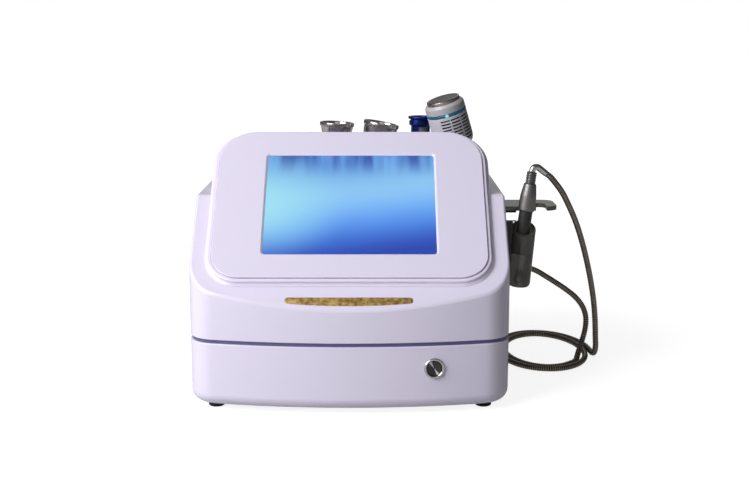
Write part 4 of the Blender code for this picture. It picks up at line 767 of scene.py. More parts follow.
def screenFinish():
    # Lit display with a plain blue picture: light in the middle, deep below, soft streaks above
    made, tree, shader = newFinish("litScreen")
    place = addNode(tree, "ShaderNodeTexCoord")
    turn = addNode(tree, "ShaderNodeMapping", [("Vector", place.outputs["Object"])],
                   vector_type="TEXTURE")
    corner = Matrix.Translation(home) @ slopePlace @ Vector((0, display["low"], 0))
    turn.inputs["Location"].default_value = corner
    turn.inputs["Rotation"].default_value = (body["slope"], 0, 0)
    turn.inputs["Scale"].default_value = (display["width"], display["height"], 1)
    split = addNode(tree, "ShaderNodeSeparateXYZ", [(0, turn.outputs[0])])
    waver = addNode(tree, "ShaderNodeTexNoise", [("Vector", turn.outputs[0])])
    waver.inputs["Scale"].default_value = 1.6
    waver.inputs["Detail"].default_value = 1.5
    rise = addNode(tree, "ShaderNodeMath", [(0, waver.outputs["Fac"]), (2, split.outputs["Y"])],
                   operation="MULTIPLY_ADD", in_1=picture["waver"])
    height = addNode(tree, "ShaderNodeMath", [(0, split.outputs["X"]), (2, rise.outputs[0])],
                     operation="MULTIPLY_ADD", in_1=picture["lean"])
    ramp = addNode(tree, "ShaderNodeValToRGB", [(0, height.outputs[0])])
    ramp.color_ramp.interpolation = "B_SPLINE"
    first, *middle, last = picture["stops"]
    for element, (position, colour) in zip(ramp.color_ramp.elements, (first, last)):
        element.position = position
        element.color = (*colour, 1)
    for position, colour in middle:
        ramp.color_ramp.elements.new(position).color = (*colour, 1)
    # Feathered dark streaks hang from the top edge
    comb = addNode(tree, "ShaderNodeMapping", [("Vector", turn.outputs[0])])
    comb.inputs["Rotation"].default_value = (0, 0, math.radians(-9))
    comb.inputs["Scale"].default_value = (3.6, 0.42, 1)
    strands = addNode(tree, "ShaderNodeTexNoise", [("Vector", comb.outputs[0])])
    strands.inputs["Scale"].default_value = 2.4
    strands.inputs["Detail"].default_value = 2.5
    top = addNode(tree, "ShaderNodeMapRange", [(0, split.outputs["Y"])], in_1=0.74, in_2=1.0)
    top.interpolation_type = "SMOOTHSTEP"
    sharp = addNode(tree, "ShaderNodeMapRange", [(0, strands.outputs["Fac"])], in_1=0.38,
                    in_2=0.58)
    streak = addNode(tree, "ShaderNodeMath", [(0, top.outputs[0]), (1, sharp.outputs[0])],
                     operation="MULTIPLY")
    dark = addNode(tree, "ShaderNodeMix", [(0, streak.outputs[0]), (6, ramp.outputs[0])],
                   data_type="RGBA")
    dark.inputs[7].default_value = (*picture["streak"], 1)
    # A pale glow comes in from the left edge
    away = addNode(tree, "ShaderNodeVectorMath", [(0, turn.outputs[0])], operation="DISTANCE")
    away.inputs[1].default_value = picture["glowPlace"]
    pale = addNode(tree, "ShaderNodeMapRange", [(0, away.outputs["Value"])], in_1=0.62, in_2=0.0,
                   in_3=0.0, in_4=0.95)
    pale.interpolation_type = "SMOOTHSTEP"
    lit = addNode(tree, "ShaderNodeMix", [(0, pale.outputs[0]), (6, dark.outputs[2])],
                  data_type="RGBA")
    lit.inputs[7].default_value = (*picture["glow"], 1)
    tree.links.new(lit.outputs[2], shader.inputs["Emission Color"])
    shader.inputs["Emission Strength"].default_value = picture["strength"]
    shader.inputs["Base Color"].default_value = (0.005, 0.006, 0.01, 1)
    shader.inputs["Roughness"].default_value = 0.12
    return made


def makeScreen():
    shape = drawPrism(screenOutline(display["glassMargin"]),
                      display["glassFace"] - display["glassThick"], display["glassFace"])
    bevelWhere(shape, lambda edge: True, 0.0002, 2)
    return addPiece("touchScreen", shape, screenFinish(), "root-body", ["touch_glass"],
                    slopePlace, flat=True)


def goldFinish():
    # Mottled gold foil under lacquer, brown in patches
    made, tree, shader = newFinish("mottledGold")
    place = addNode(tree, "ShaderNodeTexCoord")
    patches = addNode(tree, "ShaderNodeTexNoise", [("Vector", place.outputs["Object"])])
    patches.inputs["Scale"].default_value = 210
    patches.inputs["Detail"].default_value = 5
    ramp = addNode(tree, "ShaderNodeValToRGB", [(0, patches.outputs["Fac"])])
    ramp.color_ramp.elements[0].position = 0.34
    ramp.color_ramp.elements[0].color = (0.36, 0.20, 0.05, 1)
    ramp.color_ramp.elements[1].position = 0.62
    ramp.color_ramp.elements[1].color = (0.95, 0.66, 0.24, 1)
    bump = addNode(tree, "ShaderNodeBump", [("Height", patches.outputs["Fac"])])
    bump.inputs["Strength"].default_value = 0.25
    bump.inputs["Distance"].default_value = 0.0002
    tree.links.new(ramp.outputs[0], shader.inputs["Base Color"])
    tree.links.new(bump.outputs[0], shader.inputs["Normal"])
    shader.inputs["Metallic"].default_value = 0.6
    shader.inputs["Roughness"].default_value = 0.3
    shader.inputs["Coat Weight"].default_value = 0.5
    return made


def makeGoldPlate():
    low = body["gap"] - plate["recess"]
    shape = drawPrism(plateOutline(0), low, low + plate["thick"])
    bevelWhere(shape, atHeight(low + plate["thick"]), 0.0003, 3)
    return addPiece("goldPlate", shape, goldFinish(), "root-body", ["name_plate"], slopePlace)


# Heads that stand in the deck
wells = {"wall": 0.0015, "flange": 0.003, "height": 0.002, "floor": 0.002}


def deckPlace(spot, lean=0.0, nod=0.0):
    return (Matrix.Translation((*spot, body["deck"])) @ Matrix.Rotation(lean, 4, "Y")
            @ Matrix.Rotation(nod, 4, "X"))


def makeWell(kind, spot, lean, radius, depth, nod=0.0):
    # A black cup along the head's axis with a flange flat on the deck, and the hole it needs
    gap = body["gap"]
    place = deckPlace(spot, lean, nod)
    outer = radius + gap + wells["wall"]
    top = gap + wells["height"]
    cup = moved(drawRod(outer, -depth - wells["floor"], 0.02), place)
    above = drawBlock((0.2, 0.2, 0.04), (*spot, body["deck"] + top / 2 + 0.02))
    cup = carve(cup, [above])
    disc = drawTurned([(0, top), (outer + wells["flange"], top, 0.0007),
                       (outer + wells["flange"], gap), (0, gap)])
    moved(disc, deckPlace(spot) @ Matrix.Diagonal((1 / math.cos(lean), 1, 1, 1)))
    cup = carve(cup, [disc], "UNION")
    bore = moved(drawRod(radius + gap, -depth, 0.04), place)
    addPiece(f"wellCup_{kind}", carve(cup, [bore]), blackMoulded, "root-body",
             [f"well_cup_{kind}"])
    return moved(drawRod(outer + gap, -depth - 2 * overrun, 0.02), place)


silver = {
    "large": {"spot": (-0.0208, 0.235), "lean": math.radians(3.5), "rim": 0.0190,
              "height": 0.0625, "neck": 0.0162, "mouth": 0.0155, "throat": 0.0120},
    "small": {"spot": (0.0201, 0.235), "lean": math.radians(11), "rim": 0.0196,
              "height": 0.0633, "neck": 0.0182, "mouth": 0.0160, "throat": 0.0125},
}
headStem = {"radius": 0.0115, "depth": 0.058, "top": 0.020, "lip": 0.004, "mouthDepth": 0.014,
            "lens": 0.0015}


def makeSilverHead(kind):
    head = silver[kind]
    gap, edge = body["gap"], headStem["lip"] / 4
    low, height = gap - headStem["depth"], head["height"]
    floor = height - headStem["mouthDepth"]
    seat = floor - headStem["lens"] - gap
    outline = [(head["mouth"] + edge / 2, height, 0.0006), (head["rim"], height, 0.0011),
               (head["rim"], height - headStem["lip"], 0.0009),
               (head["rim"] - edge, height - headStem["lip"] - edge / 2, 0.0004),
               (head["neck"], height - 3 * headStem["lip"], 0.012),
               (head["throat"], headStem["top"] + headStem["lip"], 0.002),
               (headStem["radius"], headStem["top"], 0.0008),
               (headStem["radius"], low, edge), (head["mouth"] / 2, low),
               (head["mouth"] / 2, seat), (head["throat"] - edge, seat),
               (head["throat"], floor + edge, 0.0006), (head["mouth"], height - edge, 0.0006)]
    place = deckPlace(head["spot"], head["lean"])
    centre = home + Vector((*head["spot"], body["deck"]))
    steel = machined(f"turnedSteel_{kind}", (0.60, 0.57, 0.545), 0.19, streak=0.07, pitch=1400,
                     depth=0.025, axis=(0, head["lean"], 0), centre=centre)
    addPiece(f"headShell_{kind}", drawTurned(outline, 128, True), steel, f"head_{kind}",
             [f"head_{kind}_shell"], place)
    radius = head["throat"] - edge - gap
    lens = drawTurned([(0, floor - gap), (radius * 0.5, floor - gap - 0.0002),
                       (radius, floor - gap - 0.0005, 0.0003), (radius, seat + gap),
                       (0, seat + gap)])
    addPiece(f"headLens_{kind}", lens, lensGlass, f"head_{kind}", [f"head_{kind}_lens"], place)


lensGlass = moulded("lensGlass", (0.35, 0.42, 0.50), 0.05, peel=0.0, dust=0.0, coat=0.6,
                    Metallic=0.3)
blue = {"spot": (0.0755, 0.248), "top": 0.068, "flange": 0.0136, "ring": 0.0126,
        "groove": 0.0112, "tube": 0.0105, "core": 0.0085, "flangeHeight": 0.0025,
        "ringDrop": 0.0075, "windowLow": 0.010, "windowHalf": 0.007, "lens": 0.0095,
        "lensDepth": 0.002, "depth": 0.040}
blueAnodised = machined("blueAnodised", (0.02, 0.045, 0.27), 0.24, streak=0.25, pitch=1600,
                        depth=0.12)


def makeBlueHead():
    gap = body["gap"]
    low = gap - blue["depth"]
    ringTop = blue["top"] - blue["ringDrop"] + blue["flangeHeight"]
    ringLow = blue["top"] - blue["ringDrop"] - blue["flangeHeight"]
    lensFloor = blue["top"] - 2 * blue["lensDepth"] - gap
    edge = blue["flangeHeight"] / 4
    inner = blue["core"] + gap
    outline = [(blue["lens"] + gap, blue["top"], 0.0003), (blue["flange"], blue["top"], 0.0006),
               (blue["flange"], blue["top"] - blue["flangeHeight"], 0.0005),
               (blue["groove"], blue["top"] - blue["flangeHeight"] - edge, 0.0005),
               (blue["groove"], ringTop + edge, 0.0005), (blue["ring"], ringTop, 0.0005),
               (blue["ring"], ringLow + edge, 0.0005), (blue["tube"], ringLow - edge, 0.0004),
               (blue["tube"], low, 0.0005), (inner, low), (inner, lensFloor),
               (blue["lens"] + gap, lensFloor)]
    windowHigh = ringLow - 0.0012
    window = drawBlock((2 * blue["windowHalf"], 2 * blue["tube"], windowHigh - blue["windowLow"]),
                       (blue["windowHalf"] / 2, -blue["tube"] - blue["flangeHeight"] / 2,
                        (windowHigh + blue["windowLow"]) / 2), 0.0008)
    place = deckPlace(blue["spot"])
    addPiece("blueCollar", carve(drawTurned(outline, 112, True), [window]), blueAnodised,
             "blue_head", ["blue_head_collar"], place)
    barrel = [(0, lensFloor - gap), (blue["core"], lensFloor - gap, 0.0004),
              (blue["core"], low, 0.0004), (0, low)]
    addPiece("blueBarrel", drawTurned(barrel), barrelGrey, "blue_head", ["blue_head_barrel"], place)
    lens = [(0, blue["top"] - blue["lensDepth"] + 0.0008),
            (blue["lens"] * 0.6, blue["top"] - blue["lensDepth"] + 0.0004),
            (blue["lens"], blue["top"] - blue["lensDepth"], 0.0003),
            (blue["lens"], lensFloor + gap), (0, lensFloor + gap)]
    addPiece("blueLens", drawTurned(lens), lensGlass, "blue_head", ["blue_head_lens"], place)


hammer = {"spot": (0.1243, 0.2130), "lean": math.radians(-16.5), "nod": math.radians(7.5),
          "top": 0.0955, "plate": 0.0180, "plateHeight": 0.0035, "cap": 0.0215,
          "capLow": 0.0819, "led": 0.0217, "ledLow": 0.0787, "radius": 0.0215, "low": 0.0410,
          "round": 0.0115, "grip": 0.013, "depth": 0.022, "rows": 8, "columns": 8,
          "start": math.radians(-103), "step": math.radians(31), "pitch": 0.0034,
          "slot": (0.0076, 0.0102, 0.0015), "ventTop": 0.0747}


def makeHammer():
    gap = body["gap"]
    place = deckPlace(hammer["spot"], hammer["lean"], hammer["nod"])
    centre = home + Vector((*hammer["spot"], body["deck"]))
    plateLow = hammer["top"] - hammer["plateHeight"]
    rim = hammer["plate"]
    plateLine = [(0, hammer["top"] - 0.0004), (rim - 0.0024, hammer["top"] - 0.0004, 0.0004),
                 (rim - 0.0018, hammer["top"], 0.0006), (rim, hammer["top"] - 0.0004, 0.0010),
                 (rim, plateLow), (0, plateLow)]
    coldSteel = machined("coldSteel", (0.42, 0.385, 0.36), 0.22, streak=0.2, pitch=900, depth=0.1,
                         axis=(hammer["nod"], hammer["lean"], 0), centre=centre)
    addPiece("coldPlate", drawTurned(plateLine, 112), coldSteel, "cold_hammer",
             ["hammer_plate"], place)
    capTop = plateLow - gap
    capLine = [(0, capTop), (hammer["cap"] - 0.0022, capTop, 0.0005),
               (hammer["cap"], capTop - 0.0030, 0.0022), (hammer["cap"], hammer["capLow"], 0.0004),
               (0, hammer["capLow"])]
    addPiece("hammerCap", drawTurned(capLine, 112), capGrey, "cold_hammer", ["hammer_cap"], place)
    ledTop = hammer["capLow"] - gap
    ledLine = [(0, ledTop), (hammer["led"], ledTop, 0.0007), (hammer["led"], hammer["ledLow"], 0.0007),
               (0, hammer["ledLow"])]
    addPiece("ledRing", drawTurned(ledLine, 112), tealRing(place), "cold_hammer",
             ["hammer_led_ring"], place)
    high = hammer["ledLow"] - gap
    bodyLine = [(0, high), (hammer["radius"], high, 0.0006),
                (hammer["radius"], hammer["low"], hammer["round"]), (0, hammer["low"])]
    shape = drawTurned(bodyLine, 128)
    slots = []
    for column in range(hammer["columns"]):
        turn = Matrix.Rotation(hammer["start"] + column * hammer["step"], 4, "Z")
        for row in range(hammer["rows"]):
            height = hammer["ventTop"] - row * hammer["pitch"]
            slots.append(moved(drawBlock(hammer["slot"], (hammer["radius"], 0, height), 0.0005, 2),
                               turn))
    joined = bmesh.new()
    for slot in slots:
        mesh = bpy.data.meshes.new("slot")
        slot.to_mesh(mesh)
        slot.free()
        joined.from_mesh(mesh)
        bpy.data.meshes.remove(mesh)
    vented = addPiece("ventBody", carve(shape, [joined]), hammerShell, "cold_hammer",
                      ["hammer_vent_body"], place)
    # Painted shade: the walls inside the vent slots take a near-black finish, standing in for the dark
    # inside the body
    vented.data.materials.append(ventPaintedShade)
    backwards = (Matrix.Translation(home) @ place).inverted()
    slotLow = hammer["ventTop"] - (hammer["rows"] - 0.5) * hammer["pitch"]
    for face in vented.data.polygons:
        middle = backwards @ face.center
        inner = math.hypot(middle.x, middle.y) < hammer["radius"] - 0.0007
        if inner and slotLow < middle.z < hammer["ventTop"] + hammer["slot"][2] / 2:
            face.material_index = 1
    gripTop = hammer["low"] - gap
    low = gap - hammer["depth"]
    gripLine = [(0, gripTop), (hammer["grip"], gripTop, 0.0008), (hammer["grip"], low, 0.0012),
                (0, low)]
    addPiece("hammerGrip", drawTurned(gripLine), capGrey, "cold_hammer", ["hammer_grip"], place)


def tealRing(place):
    # Clear teal light guide with one lamp glowing behind its front
    made, tree, shader = newFinish("tealGuide")
    coords = addNode(tree, "ShaderNodeTexCoord")
    spot = Matrix.Translation(home) @ place @ Vector((-0.0014, -hammer["led"],
                                                      (hammer["ledLow"] + hammer["capLow"]) / 2))
    offset = addNode(tree, "ShaderNodeVectorMath", [(0, coords.outputs["Object"])],
                     operation="DISTANCE")
    offset.inputs[1].default_value = spot
    near = addNode(tree, "ShaderNodeMapRange", [(0, offset.outputs["Value"])], in_1=0.0027,
                   in_2=0.0004)
    colour = addNode(tree, "ShaderNodeMix", [(0, near.outputs[0])], data_type="RGBA")
    colour.inputs[6].default_value = (0.0, 0.022, 0.04, 1)
    colour.inputs[7].default_value = (0.32, 0.92, 1.0, 1)
    tree.links.new(colour.outputs[2], shader.inputs["Emission Color"])
    shader.inputs["Emission Strength"].default_value = 1.0
    shader.inputs["Base Color"].default_value = (0.008, 0.10, 0.17, 1)
    shader.inputs["Roughness"].default_value = 0.15
    return made


hammerShell = moulded("hammerShell", (0.58, 0.565, 0.62), 0.3)
# Near-black painted shade for the walls inside the vent slots
ventPaintedShade = moulded("ventPaintedShade", (0.012, 0.012, 0.012), 0.6)
wellCutters = [makeWell(kind, silver[kind]["spot"], silver[kind]["lean"], headStem["radius"],
                        headStem["depth"]) for kind in silver]
wellCutters.append(makeWell("blue", blue["spot"], 0, blue["tube"], blue["depth"]))
wellCutters.append(makeWell("hammer", hammer["spot"], hammer["lean"], hammer["grip"],
                            hammer["depth"], hammer["nod"]))
makeBaseCasing()
makeSeamBand()
makeTopCasing(wellCutters)
makeHood()
makeBezel()
makeScreen()
makeGoldPlate()
print("casing and display made")
for kind in silver:
    makeSilverHead(kind)
makeBlueHead()
makeHammer()
print("heads made")


# Power button and feet
def makeButton():
    gap = body["gap"]
    seat = gap + button["ring"] ** 2 / (2 * body["bowRadius"])
    top = seat + button["ringHeight"]
    bore = button["barrel"] - button["wall"] + gap
    mouth = button["cap"] + gap
    edge = button["ringHeight"] / 3
    ring = [(mouth, top - edge, 0.0003), (mouth + edge, top, 0.0004),
            (button["ring"] - edge, top, 0.0005), (button["ring"], top - edge, 0.0005),
            (button["ring"], seat), (button["barrel"], seat), (button["barrel"], -button["length"]),
            (bore, -button["length"]), (bore, -body["wall"]), (mouth, -body["wall"])]
    addPiece("buttonRing", drawTurned(ring, 96, True), plainSteel, "root-body",
             ["power_button_ring"], buttonPlace)
    capTop = top - edge
    stem = bore - 2 * gap
    low = button["travel"] - body["wall"] + gap
    cap = [(0, capTop - button["dish"] - button["dimple"]),
           (0.0008, capTop - button["dish"] - button["dimple"] * 0.4, 0.0003),
           (0.0014, capTop - button["dish"] + 0.0001, 0.0003),
           (button["cap"] * 0.6, capTop - button["dish"] * 0.72, 0.002),
           (button["cap"] - edge, capTop - edge / 4, 0.0004), (button["cap"], capTop - edge, 0.0003),
           (button["cap"], low), (stem / 2, low), (stem / 2, -button["length"] / 2),
           (0, -button["length"] / 2)]
    addPiece("buttonCap", drawTurned(cap), buttonFinish(), "power_button",
             ["power_button_cap"], buttonPlace)


def buttonFinish():
    # Dark steel with fine rings about the button's own axis
    made, tree, shader = newFinish("darkRingedSteel")
    place = addNode(tree, "ShaderNodeTexCoord")
    turn = addNode(tree, "ShaderNodeMapping", [("Vector", place.outputs["Object"])],
                   vector_type="TEXTURE")
    turn.inputs["Location"].default_value = Matrix.Translation(home) @ buttonPlace.translation
    turn.inputs["Rotation"].default_value = buttonPlace.to_euler()
    rings = addNode(tree, "ShaderNodeTexWave", [("Vector", turn.outputs[0])],
                    wave_type="RINGS", rings_direction="Z")
    rings.inputs["Scale"].default_value = 900
    rings.inputs["Distortion"].default_value = 1.5
    bump = addNode(tree, "ShaderNodeBump", [("Height", rings.outputs["Fac"])])
    bump.inputs["Strength"].default_value = 0.5
    bump.inputs["Distance"].default_value = 0.0001
    tree.links.new(bump.outputs[0], shader.inputs["Normal"])
    # Painted highlight: one narrow pale band across the cap, where the turned rings would catch the
    # light
    flat = addNode(tree, "ShaderNodeVectorMath", [(0, turn.outputs[0])], operation="MULTIPLY",
                   in_1=(1, 1, 0))
    outward = addNode(tree, "ShaderNodeVectorMath", [(0, flat.outputs[0])],
                      operation="NORMALIZE")
    along = addNode(tree, "ShaderNodeVectorMath", [(0, outward.outputs[0])],
                    operation="DOT_PRODUCT", in_1=(-0.53, 0.85, 0))
    band = addNode(tree, "ShaderNodeMath", [(0, along.outputs["Value"])], operation="ABSOLUTE")
    paintedSheen = addNode(tree, "ShaderNodeMapRange", [(0, band.outputs[0])], in_1=0.965, in_2=1.0)
    paintedSheen.interpolation_type = "SMOOTHSTEP"
    tone = addNode(tree, "ShaderNodeMix", [(0, paintedSheen.outputs[0])], data_type="RGBA")
    tone.inputs[6].default_value = (0.03, 0.03, 0.028, 1)
    tone.inputs[7].default_value = (0.62, 0.62, 0.63, 1)
    tree.links.new(tone.outputs[2], shader.inputs["Base Color"])
    metal = addNode(tree, "ShaderNodeMath", [(0, paintedSheen.outputs[0])], operation="SUBTRACT",
                    in_0=1.0)
    tree.links.new(paintedSheen.outputs[0], metal.inputs[1])
    tree.links.new(metal.outputs[0], shader.inputs["Metallic"])
    shader.inputs["Roughness"].default_value = 0.28
    return made


def makeFeet():
    bore, headBore, headTop = screwRadius, 0.0032, 0.0048
    top = body["footTop"] - body["gap"]
    foot = [(0.008, top, 0.0005), (0.008, 0.0008, 0.0006), (0.007, 0, 0.0004), (headBore, 0),
            (headBore, headTop), (bore, headTop), (bore, top)]
    for number, (x, y) in enumerate(postPlaces, 1):
        addPiece(f"foot_{number}", drawTurned(foot, 48, True), footRubber, "root-body",
                 [f"rubber_foot_{number}"], Matrix.Translation((x, y, 0)))


makeButton()
makeFeet()
print("button and feet made")


# Right side: holder plate, cup, handpiece and the cable's socket
holder = {"reach": 0.213, "front": 0.120, "back": 0.170, "level": 0.182, "thick": 0.0045,
          "corner": 0.012, "slotX": 0.196, "slotWidth": 0.011, "slotDepth": 0.024}
cup = {"place": (0.1715, 0.100, 0.107), "lean": math.radians(4), "top": 0.0125, "low": 0.0114,
       "length": 0.067, "round": 0.006, "bore": 0.0088, "boreLow": 0.0340, "drop": 0.014}
hand = {"tip": (0.1720, 0.100, 0.1420), "lean": math.radians(7.5), "barrel": 0.0068,
        "tipRadius": 0.0055, "coneLow": 0.0435, "cone": 0.0084, "coneTop": 0.0715,
        "coneTopRadius": 0.0062, "collarTop": 0.0835, "collar": 0.0052, "grooves": 3,
        "neck": ((0.18294, 0.1000, 0.22510), (0.18304, 0.1000, 0.22580),
                 (0.1837, 0.1001, 0.2278), (0.1851, 0.1004, 0.2292), (0.1871, 0.1010, 0.2297),
                 (0.18956, 0.1017, 0.22885), (0.1935, 0.1028, 0.2258),
                 (0.19705, 0.1037, 0.2230))}


def makeHolder():
    inner = body["halfWidth"] + body["gap"]
    cornerX = holder["reach"] - holder["corner"]
    outline = [(inner, holder["front"])]
    outline += arcPoints((cornerX, holder["front"] + holder["corner"]), holder["corner"],
                         -quarter, 0, 10)
    outline += arcPoints((cornerX, holder["back"] - holder["corner"]), holder["corner"], 0,
                         quarter, 10)
    outline.append((inner, holder["back"]))
    shape = drawPrism(outline, holder["level"], holder["level"] + holder["thick"])
    half = holder["slotWidth"] / 2
    slotEnd = holder["front"] + holder["slotDepth"] - half
    slot = [(holder["slotX"] - half, holder["front"] - overrun),
            (holder["slotX"] + half, holder["front"] - overrun)]
    slot += arcPoints((holder["slotX"], slotEnd), half, 0, math.pi, 20)
    shape = carve(shape, [drawPrism(slot, holder["level"] - overrun,
                                    holder["level"] + holder["thick"] + overrun)])
    bevelWhere(shape, lambda edge: True, 0.0005, 3)
    addPiece("holderPlate", shape, smokePlastic, "root-body", ["holder_plate"], flat=True)
    top = holder["level"] - body["gap"]
    length = holder["back"] - holder["front"] - 0.012
    middle = (holder["back"] + holder["front"]) / 2
    angle = carve(drawBlock((0.0025, length, 0.020), (inner + 0.00125, middle, top - 0.010)),
                  [drawBlock((0.014, length, 0.0025), (inner + 0.007, middle, top - 0.00125))],
                  "UNION")
    bevelWhere(angle, lambda edge: True, 0.0004, 2)
    addPiece("plateBracket", angle, paintedBracket, "root-body", ["plate_bracket"], flat=True)


def cupLine(grow):
    return [(0, cup["length"] + grow), (cup["top"] + grow, cup["length"] + grow),
            (cup["low"] + grow, -grow, cup["round"]), (0, -grow)]


def makeCup():
    place = Matrix.Translation(cup["place"]) @ Matrix.Rotation(cup["lean"], 4, "Y")
    slant = math.atan2(cup["drop"], 2 * cup["top"])
    above = drawBlock((0.1, 0.1, 2 * cup["length"]), (0, 0, cup["length"]))
    lift = cup["length"] - cup["drop"] / 2
    moved(above, Matrix.Translation((0, 0, lift)) @ Matrix.Rotation(slant, 4, "X"))
    bore = drawTurned([(0, cup["length"] + overrun), (cup["bore"], cup["length"] + overrun),
                       (cup["bore"], cup["boreLow"], 0.002), (0, cup["boreLow"])])
    shape = carve(drawTurned(cupLine(0), 96), [bore, above])
    bevelWhere(shape, lambda edge: min(vert.co.z for vert in edge.verts) > cup["boreLow"] + 0.006,
               0.0010, 4)
    addPiece("sideCup", shape, smokePlastic, "root-body", ["side_cup"], place)
    inner = body["halfWidth"] + body["gap"]
    low, high = cup["place"][2] + 0.012, cup["place"][2] + 0.068
    saddle = drawBlock((0.012, 0.010, high - low), (inner + 0.006, 0.100, (low + high) / 2),
                       0.00125, 3)
    clearance = moved(drawTurned(cupLine(body["gap"]), 96), place)
    addPiece("cupBracket", carve(saddle, [clearance]), blackMoulded, "root-body",
             ["cup_bracket"], flat=True)


def makeHandpiece():
    gap = body["gap"]
    place = Matrix.Translation(hand["tip"]) @ Matrix.Rotation(hand["lean"], 4, "Y")
    centre = home + Vector(hand["tip"])
    edge = hand["barrel"] / 8
    barrel = [(0, hand["coneLow"] - gap), (hand["barrel"], hand["coneLow"] - gap),
              (hand["barrel"], hand["coneLow"] / 2, 0.01), (hand["tipRadius"], 0, 0.001), (0, 0)]
    addPiece("gripBarrel", drawTurned(barrel), blackMoulded, "laser_handpiece",
             ["handpiece_barrel"], place)
    cone = [(0, hand["coneTop"]), (hand["coneTopRadius"], hand["coneTop"], 0.0008),
            ((hand["cone"] + hand["coneTopRadius"]) / 2 + edge,
             (hand["coneLow"] + hand["coneTop"]) / 2 + 2 * edge, 0.02),
            (hand["cone"], hand["coneLow"] + 4 * edge, 0.001),
            (hand["cone"], hand["coneLow"] + 0.0012, 0.0004),
            (hand["cone"] - edge, hand["coneLow"], 0.0004), (0, hand["coneLow"])]
    satin = machined("satinGrey", (0.24, 0.235, 0.23), 0.38, streak=0.15, pitch=1200, depth=0.1,
                     axis=(0, hand["lean"], 0), centre=centre)
    addPiece("handCone", drawTurned(cone), satin, "laser_handpiece", ["handpiece_cone"], place)
    low, high = hand["coneTop"] + gap, hand["collarTop"]
    step = (high - low) / (2 * hand["grooves"] + 1)
    collar = [(0, high), (hand["collar"] - edge, high, 0.0005)]
    for groove in range(2 * hand["grooves"]):
        top = high - (groove + 0.5) * step
        collar += [(hand["collar"], top, 0.0003), (hand["collar"], top - step * 0.45, 0.0003),
                   (hand["collar"] - edge * 0.8, top - step * 0.55, 0.0002),
                   (hand["collar"] - edge * 0.8, top - step * 0.95, 0.0002)]
    collar += [(hand["collar"], low + step * 0.4, 0.0003), (hand["collar"], low, 0.0004), (0, low)]
    addPiece("handCollar", drawTurned(collar), darkCollar, "laser_handpiece",
             ["handpiece_collar"], place)
    points = evenCurve(hand["neck"], 0.0008)[0]
    neck = sweepTube("neck", points, [cable["radius"]] * len(points), 24)
    addPiece("handNeck", neck, plainSteel, "laser_handpiece", ["handpiece_neck"], crease=50)


darkCollar = machined("darkCollar", (0.20, 0.195, 0.19), 0.34, streak=0.2, pitch=1500)
socket = {"y": 0.200, "z": 0.106, "flange": 0.009, "height": 0.003, "barrel": 0.0055,
          "inner": 0.004, "relief": 0.024, "reliefRadius": 0.0058, "reliefEnd": 0.0044,
          "ribs": 6}


def makeSocket():
    gap = body["gap"]
    place = (Matrix.Translation((body["halfWidth"], socket["y"], socket["z"]))
             @ Matrix.Rotation(quarter, 4, "Y"))
    top = gap + socket["height"]
    nut = [(0, top), (socket["flange"], top, 0.0008), (socket["flange"], gap, 0.0003),
           (socket["barrel"], gap), (socket["barrel"], -body["wall"] - socket["inner"]),
           (0, -body["wall"] - socket["inner"])]
    addPiece("cableSocket", drawTurned(nut), plainSteel, "root-body", ["fibre_socket"], place)
    low = top + gap
    high = low + socket["relief"]
    relief = [(0, high), (socket["reliefEnd"], high, 0.0006)]
    for rib in range(socket["ribs"]):
        share = (rib + 0.6) / socket["ribs"]
        radius = socket["reliefEnd"] + (socket["reliefRadius"] - socket["reliefEnd"]) * min(
            1.3 * share, 1)
        spot = high - share * socket["relief"] * 0.8
        relief += [(radius, spot + 0.0009, 0.0003), (radius - 0.0006, spot + 0.0005, 0.0002),
                   (radius - 0.0006, spot - 0.0005, 0.0002), (radius, spot - 0.0009, 0.0003)]
    relief += [(socket["reliefRadius"], low, 0.0005), (0, low)]
    addPiece("cableRelief", drawTurned(relief), blackMoulded, "root-body", ["fibre_relief"],
             place)


makeHolder()
makeCup()
makeHandpiece()
makeSocket()
print("right side made")


# Finishes for the CAD nodes that stay
keptFinishes = {
    "fan_grille": paintedBracket, "fan_frame": blackMoulded, "fan_rotor": blackMoulded,
    "mains_inlet": blackMoulded, "mains_rocker": blackMoulded,
    "power_button_body": blackMoulded, "power_button_nut": plainSteel,
    "chassis_plate": plainSteel, "power_supply": plainSteel, "heat_sink": plainSteel,
    "laser_module": paintedBracket, "lcd_module": plainSteel,
}
boardGreen = moulded("boardGreen", (0.02, 0.15, 0.06), 0.4, cloud=0.2, peel=0.2)
for name in ("control_board", "display_board"):
    keptFinishes[name] = boardGreen
for number in range(1, 5):
    keptFinishes[f"case_screw_{number}"] = plainSteel
for name, finish in keptFinishes.items():
    for spot in range(len(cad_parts[name].material_slots)):
        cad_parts[name].material_slots[spot].material = finish


# Floor, world and lamps
stage = {"size": 6, "near": 0.86, "room": 0.09, "back": 0.45, "ambientLeft": 0.21,
         "ambientRight": 0.01,
         "floorGloss": 0.25}


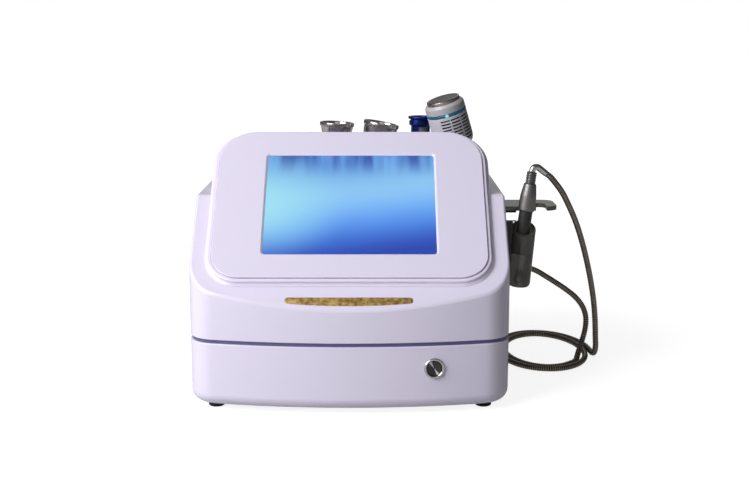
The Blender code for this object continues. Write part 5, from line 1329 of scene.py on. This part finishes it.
def makeStage():
    # Floor that looks white to the camera, glass and metal, and still takes a soft shadow
    made, tree, shader = newFinish("paleFloor")
    shader.inputs["Base Color"].default_value = (0.45, 0.45, 0.45, 1)
    shader.inputs["Roughness"].default_value = 1
    shader.inputs["Specular IOR Level"].default_value = 0
    path = addNode(tree, "ShaderNodeLightPath")
    seen = addNode(tree, "ShaderNodeMath", [(0, path.outputs["Is Camera Ray"]),
                                            (1, path.outputs["Is Transmission Ray"])],
                   operation="MAXIMUM")
    faint = addNode(tree, "ShaderNodeMath", [(0, path.outputs["Is Glossy Ray"])],
                    operation="MULTIPLY", in_1=stage["floorGloss"])
    shown = addNode(tree, "ShaderNodeMath", [(0, seen.outputs[0]), (1, faint.outputs[0])],
                    operation="MAXIMUM")
    coords = addNode(tree, "ShaderNodeTexCoord")
    away = addNode(tree, "ShaderNodeVectorMath", [(0, coords.outputs["Object"])],
                   operation="LENGTH")
    level = addNode(tree, "ShaderNodeMapRange", [(0, away.outputs["Value"])], in_1=0.35, in_2=1.6,
                    in_3=stage["near"], in_4=1.0)
    strength = addNode(tree, "ShaderNodeMath", [(0, shown.outputs[0]), (1, level.outputs[0])],
                       operation="MULTIPLY")
    glow = addNode(tree, "ShaderNodeEmission", [(1, strength.outputs[0])])
    blend = addNode(tree, "ShaderNodeAddShader", [(0, shader.outputs[0]), (1, glow.outputs[0])])
    tree.links.new(blend.outputs[0], tree.nodes["Material Output"].inputs["Surface"])
    shape = bmesh.new()
    bmesh.ops.create_grid(shape, x_segments=1, y_segments=1, size=stage["size"])
    mesh = bpy.data.meshes.new("floor")
    shape.to_mesh(mesh)
    shape.free()
    mesh.materials.append(made)
    floor = bpy.data.objects.new("floor", mesh)
    scene.collection.objects.link(floor)
    floor.location.z = -0.0002


def makeWorld():
    # White where the camera or glass looks at the backdrop, a dim room in front for gloss
    world = bpy.data.worlds.new("studio")
    scene.world = world
    world.use_nodes = True
    tree = world.node_tree
    path = addNode(tree, "ShaderNodeLightPath")
    place = addNode(tree, "ShaderNodeTexCoord")
    split = addNode(tree, "ShaderNodeSeparateXYZ", [(0, place.outputs["Generated"])])
    room = addNode(tree, "ShaderNodeMapRange", [(0, split.outputs["Y"])], in_1=0.93, in_2=1.0,
                   in_3=stage["room"], in_4=stage["back"])
    seen = addNode(tree, "ShaderNodeMath", [(0, path.outputs["Is Camera Ray"]),
                                            (1, path.outputs["Is Transmission Ray"])],
                   operation="MAXIMUM")
    side = addNode(tree, "ShaderNodeMapRange", [(0, split.outputs["X"])], in_1=-1.0, in_2=1.0,
                   in_3=stage["ambientLeft"], in_4=stage["ambientRight"])
    direct = addNode(tree, "ShaderNodeMix", [(0, path.outputs["Is Glossy Ray"]),
                                             (2, side.outputs[0]), (3, room.outputs[0])])
    strength = addNode(tree, "ShaderNodeMix", [(0, seen.outputs[0]), (2, direct.outputs[0])],
                       in_3=1.0)
    background = tree.nodes["Background"]
    background.inputs["Color"].default_value = (1, 1, 1, 1)
    tree.links.new(strength.outputs[0], background.inputs["Strength"])


lamps = {
    "key": {"place": (-1.42, -0.95, 1.27), "size": 1.4, "power": 51.5},
    "front": {"place": (0.25, -1.7, 1.1), "size": 0.9, "power": 2},
    "back": {"place": (0.4, 1.5, 1.3), "size": 1.0, "power": 1.5},
}


def makeLamp(name, place, size, power):
    lamp = bpy.data.lights.new(name, "AREA")
    lamp.shape = "RECTANGLE"
    lamp.size = size
    lamp.size_y = size
    lamp.energy = power
    holderObject = bpy.data.objects.new(name, lamp)
    target = Vector((0, 0, 0.12))
    holderObject.location = home + Vector(place)
    aim = target - holderObject.location
    holderObject.rotation_euler = aim.to_track_quat("-Z", "Y").to_euler()
    scene.collection.objects.link(holderObject)


makeStage()
makeWorld()
for lampName, lampFacts in lamps.items():
    makeLamp(lampName, **lampFacts)
print("stage and lamps made")
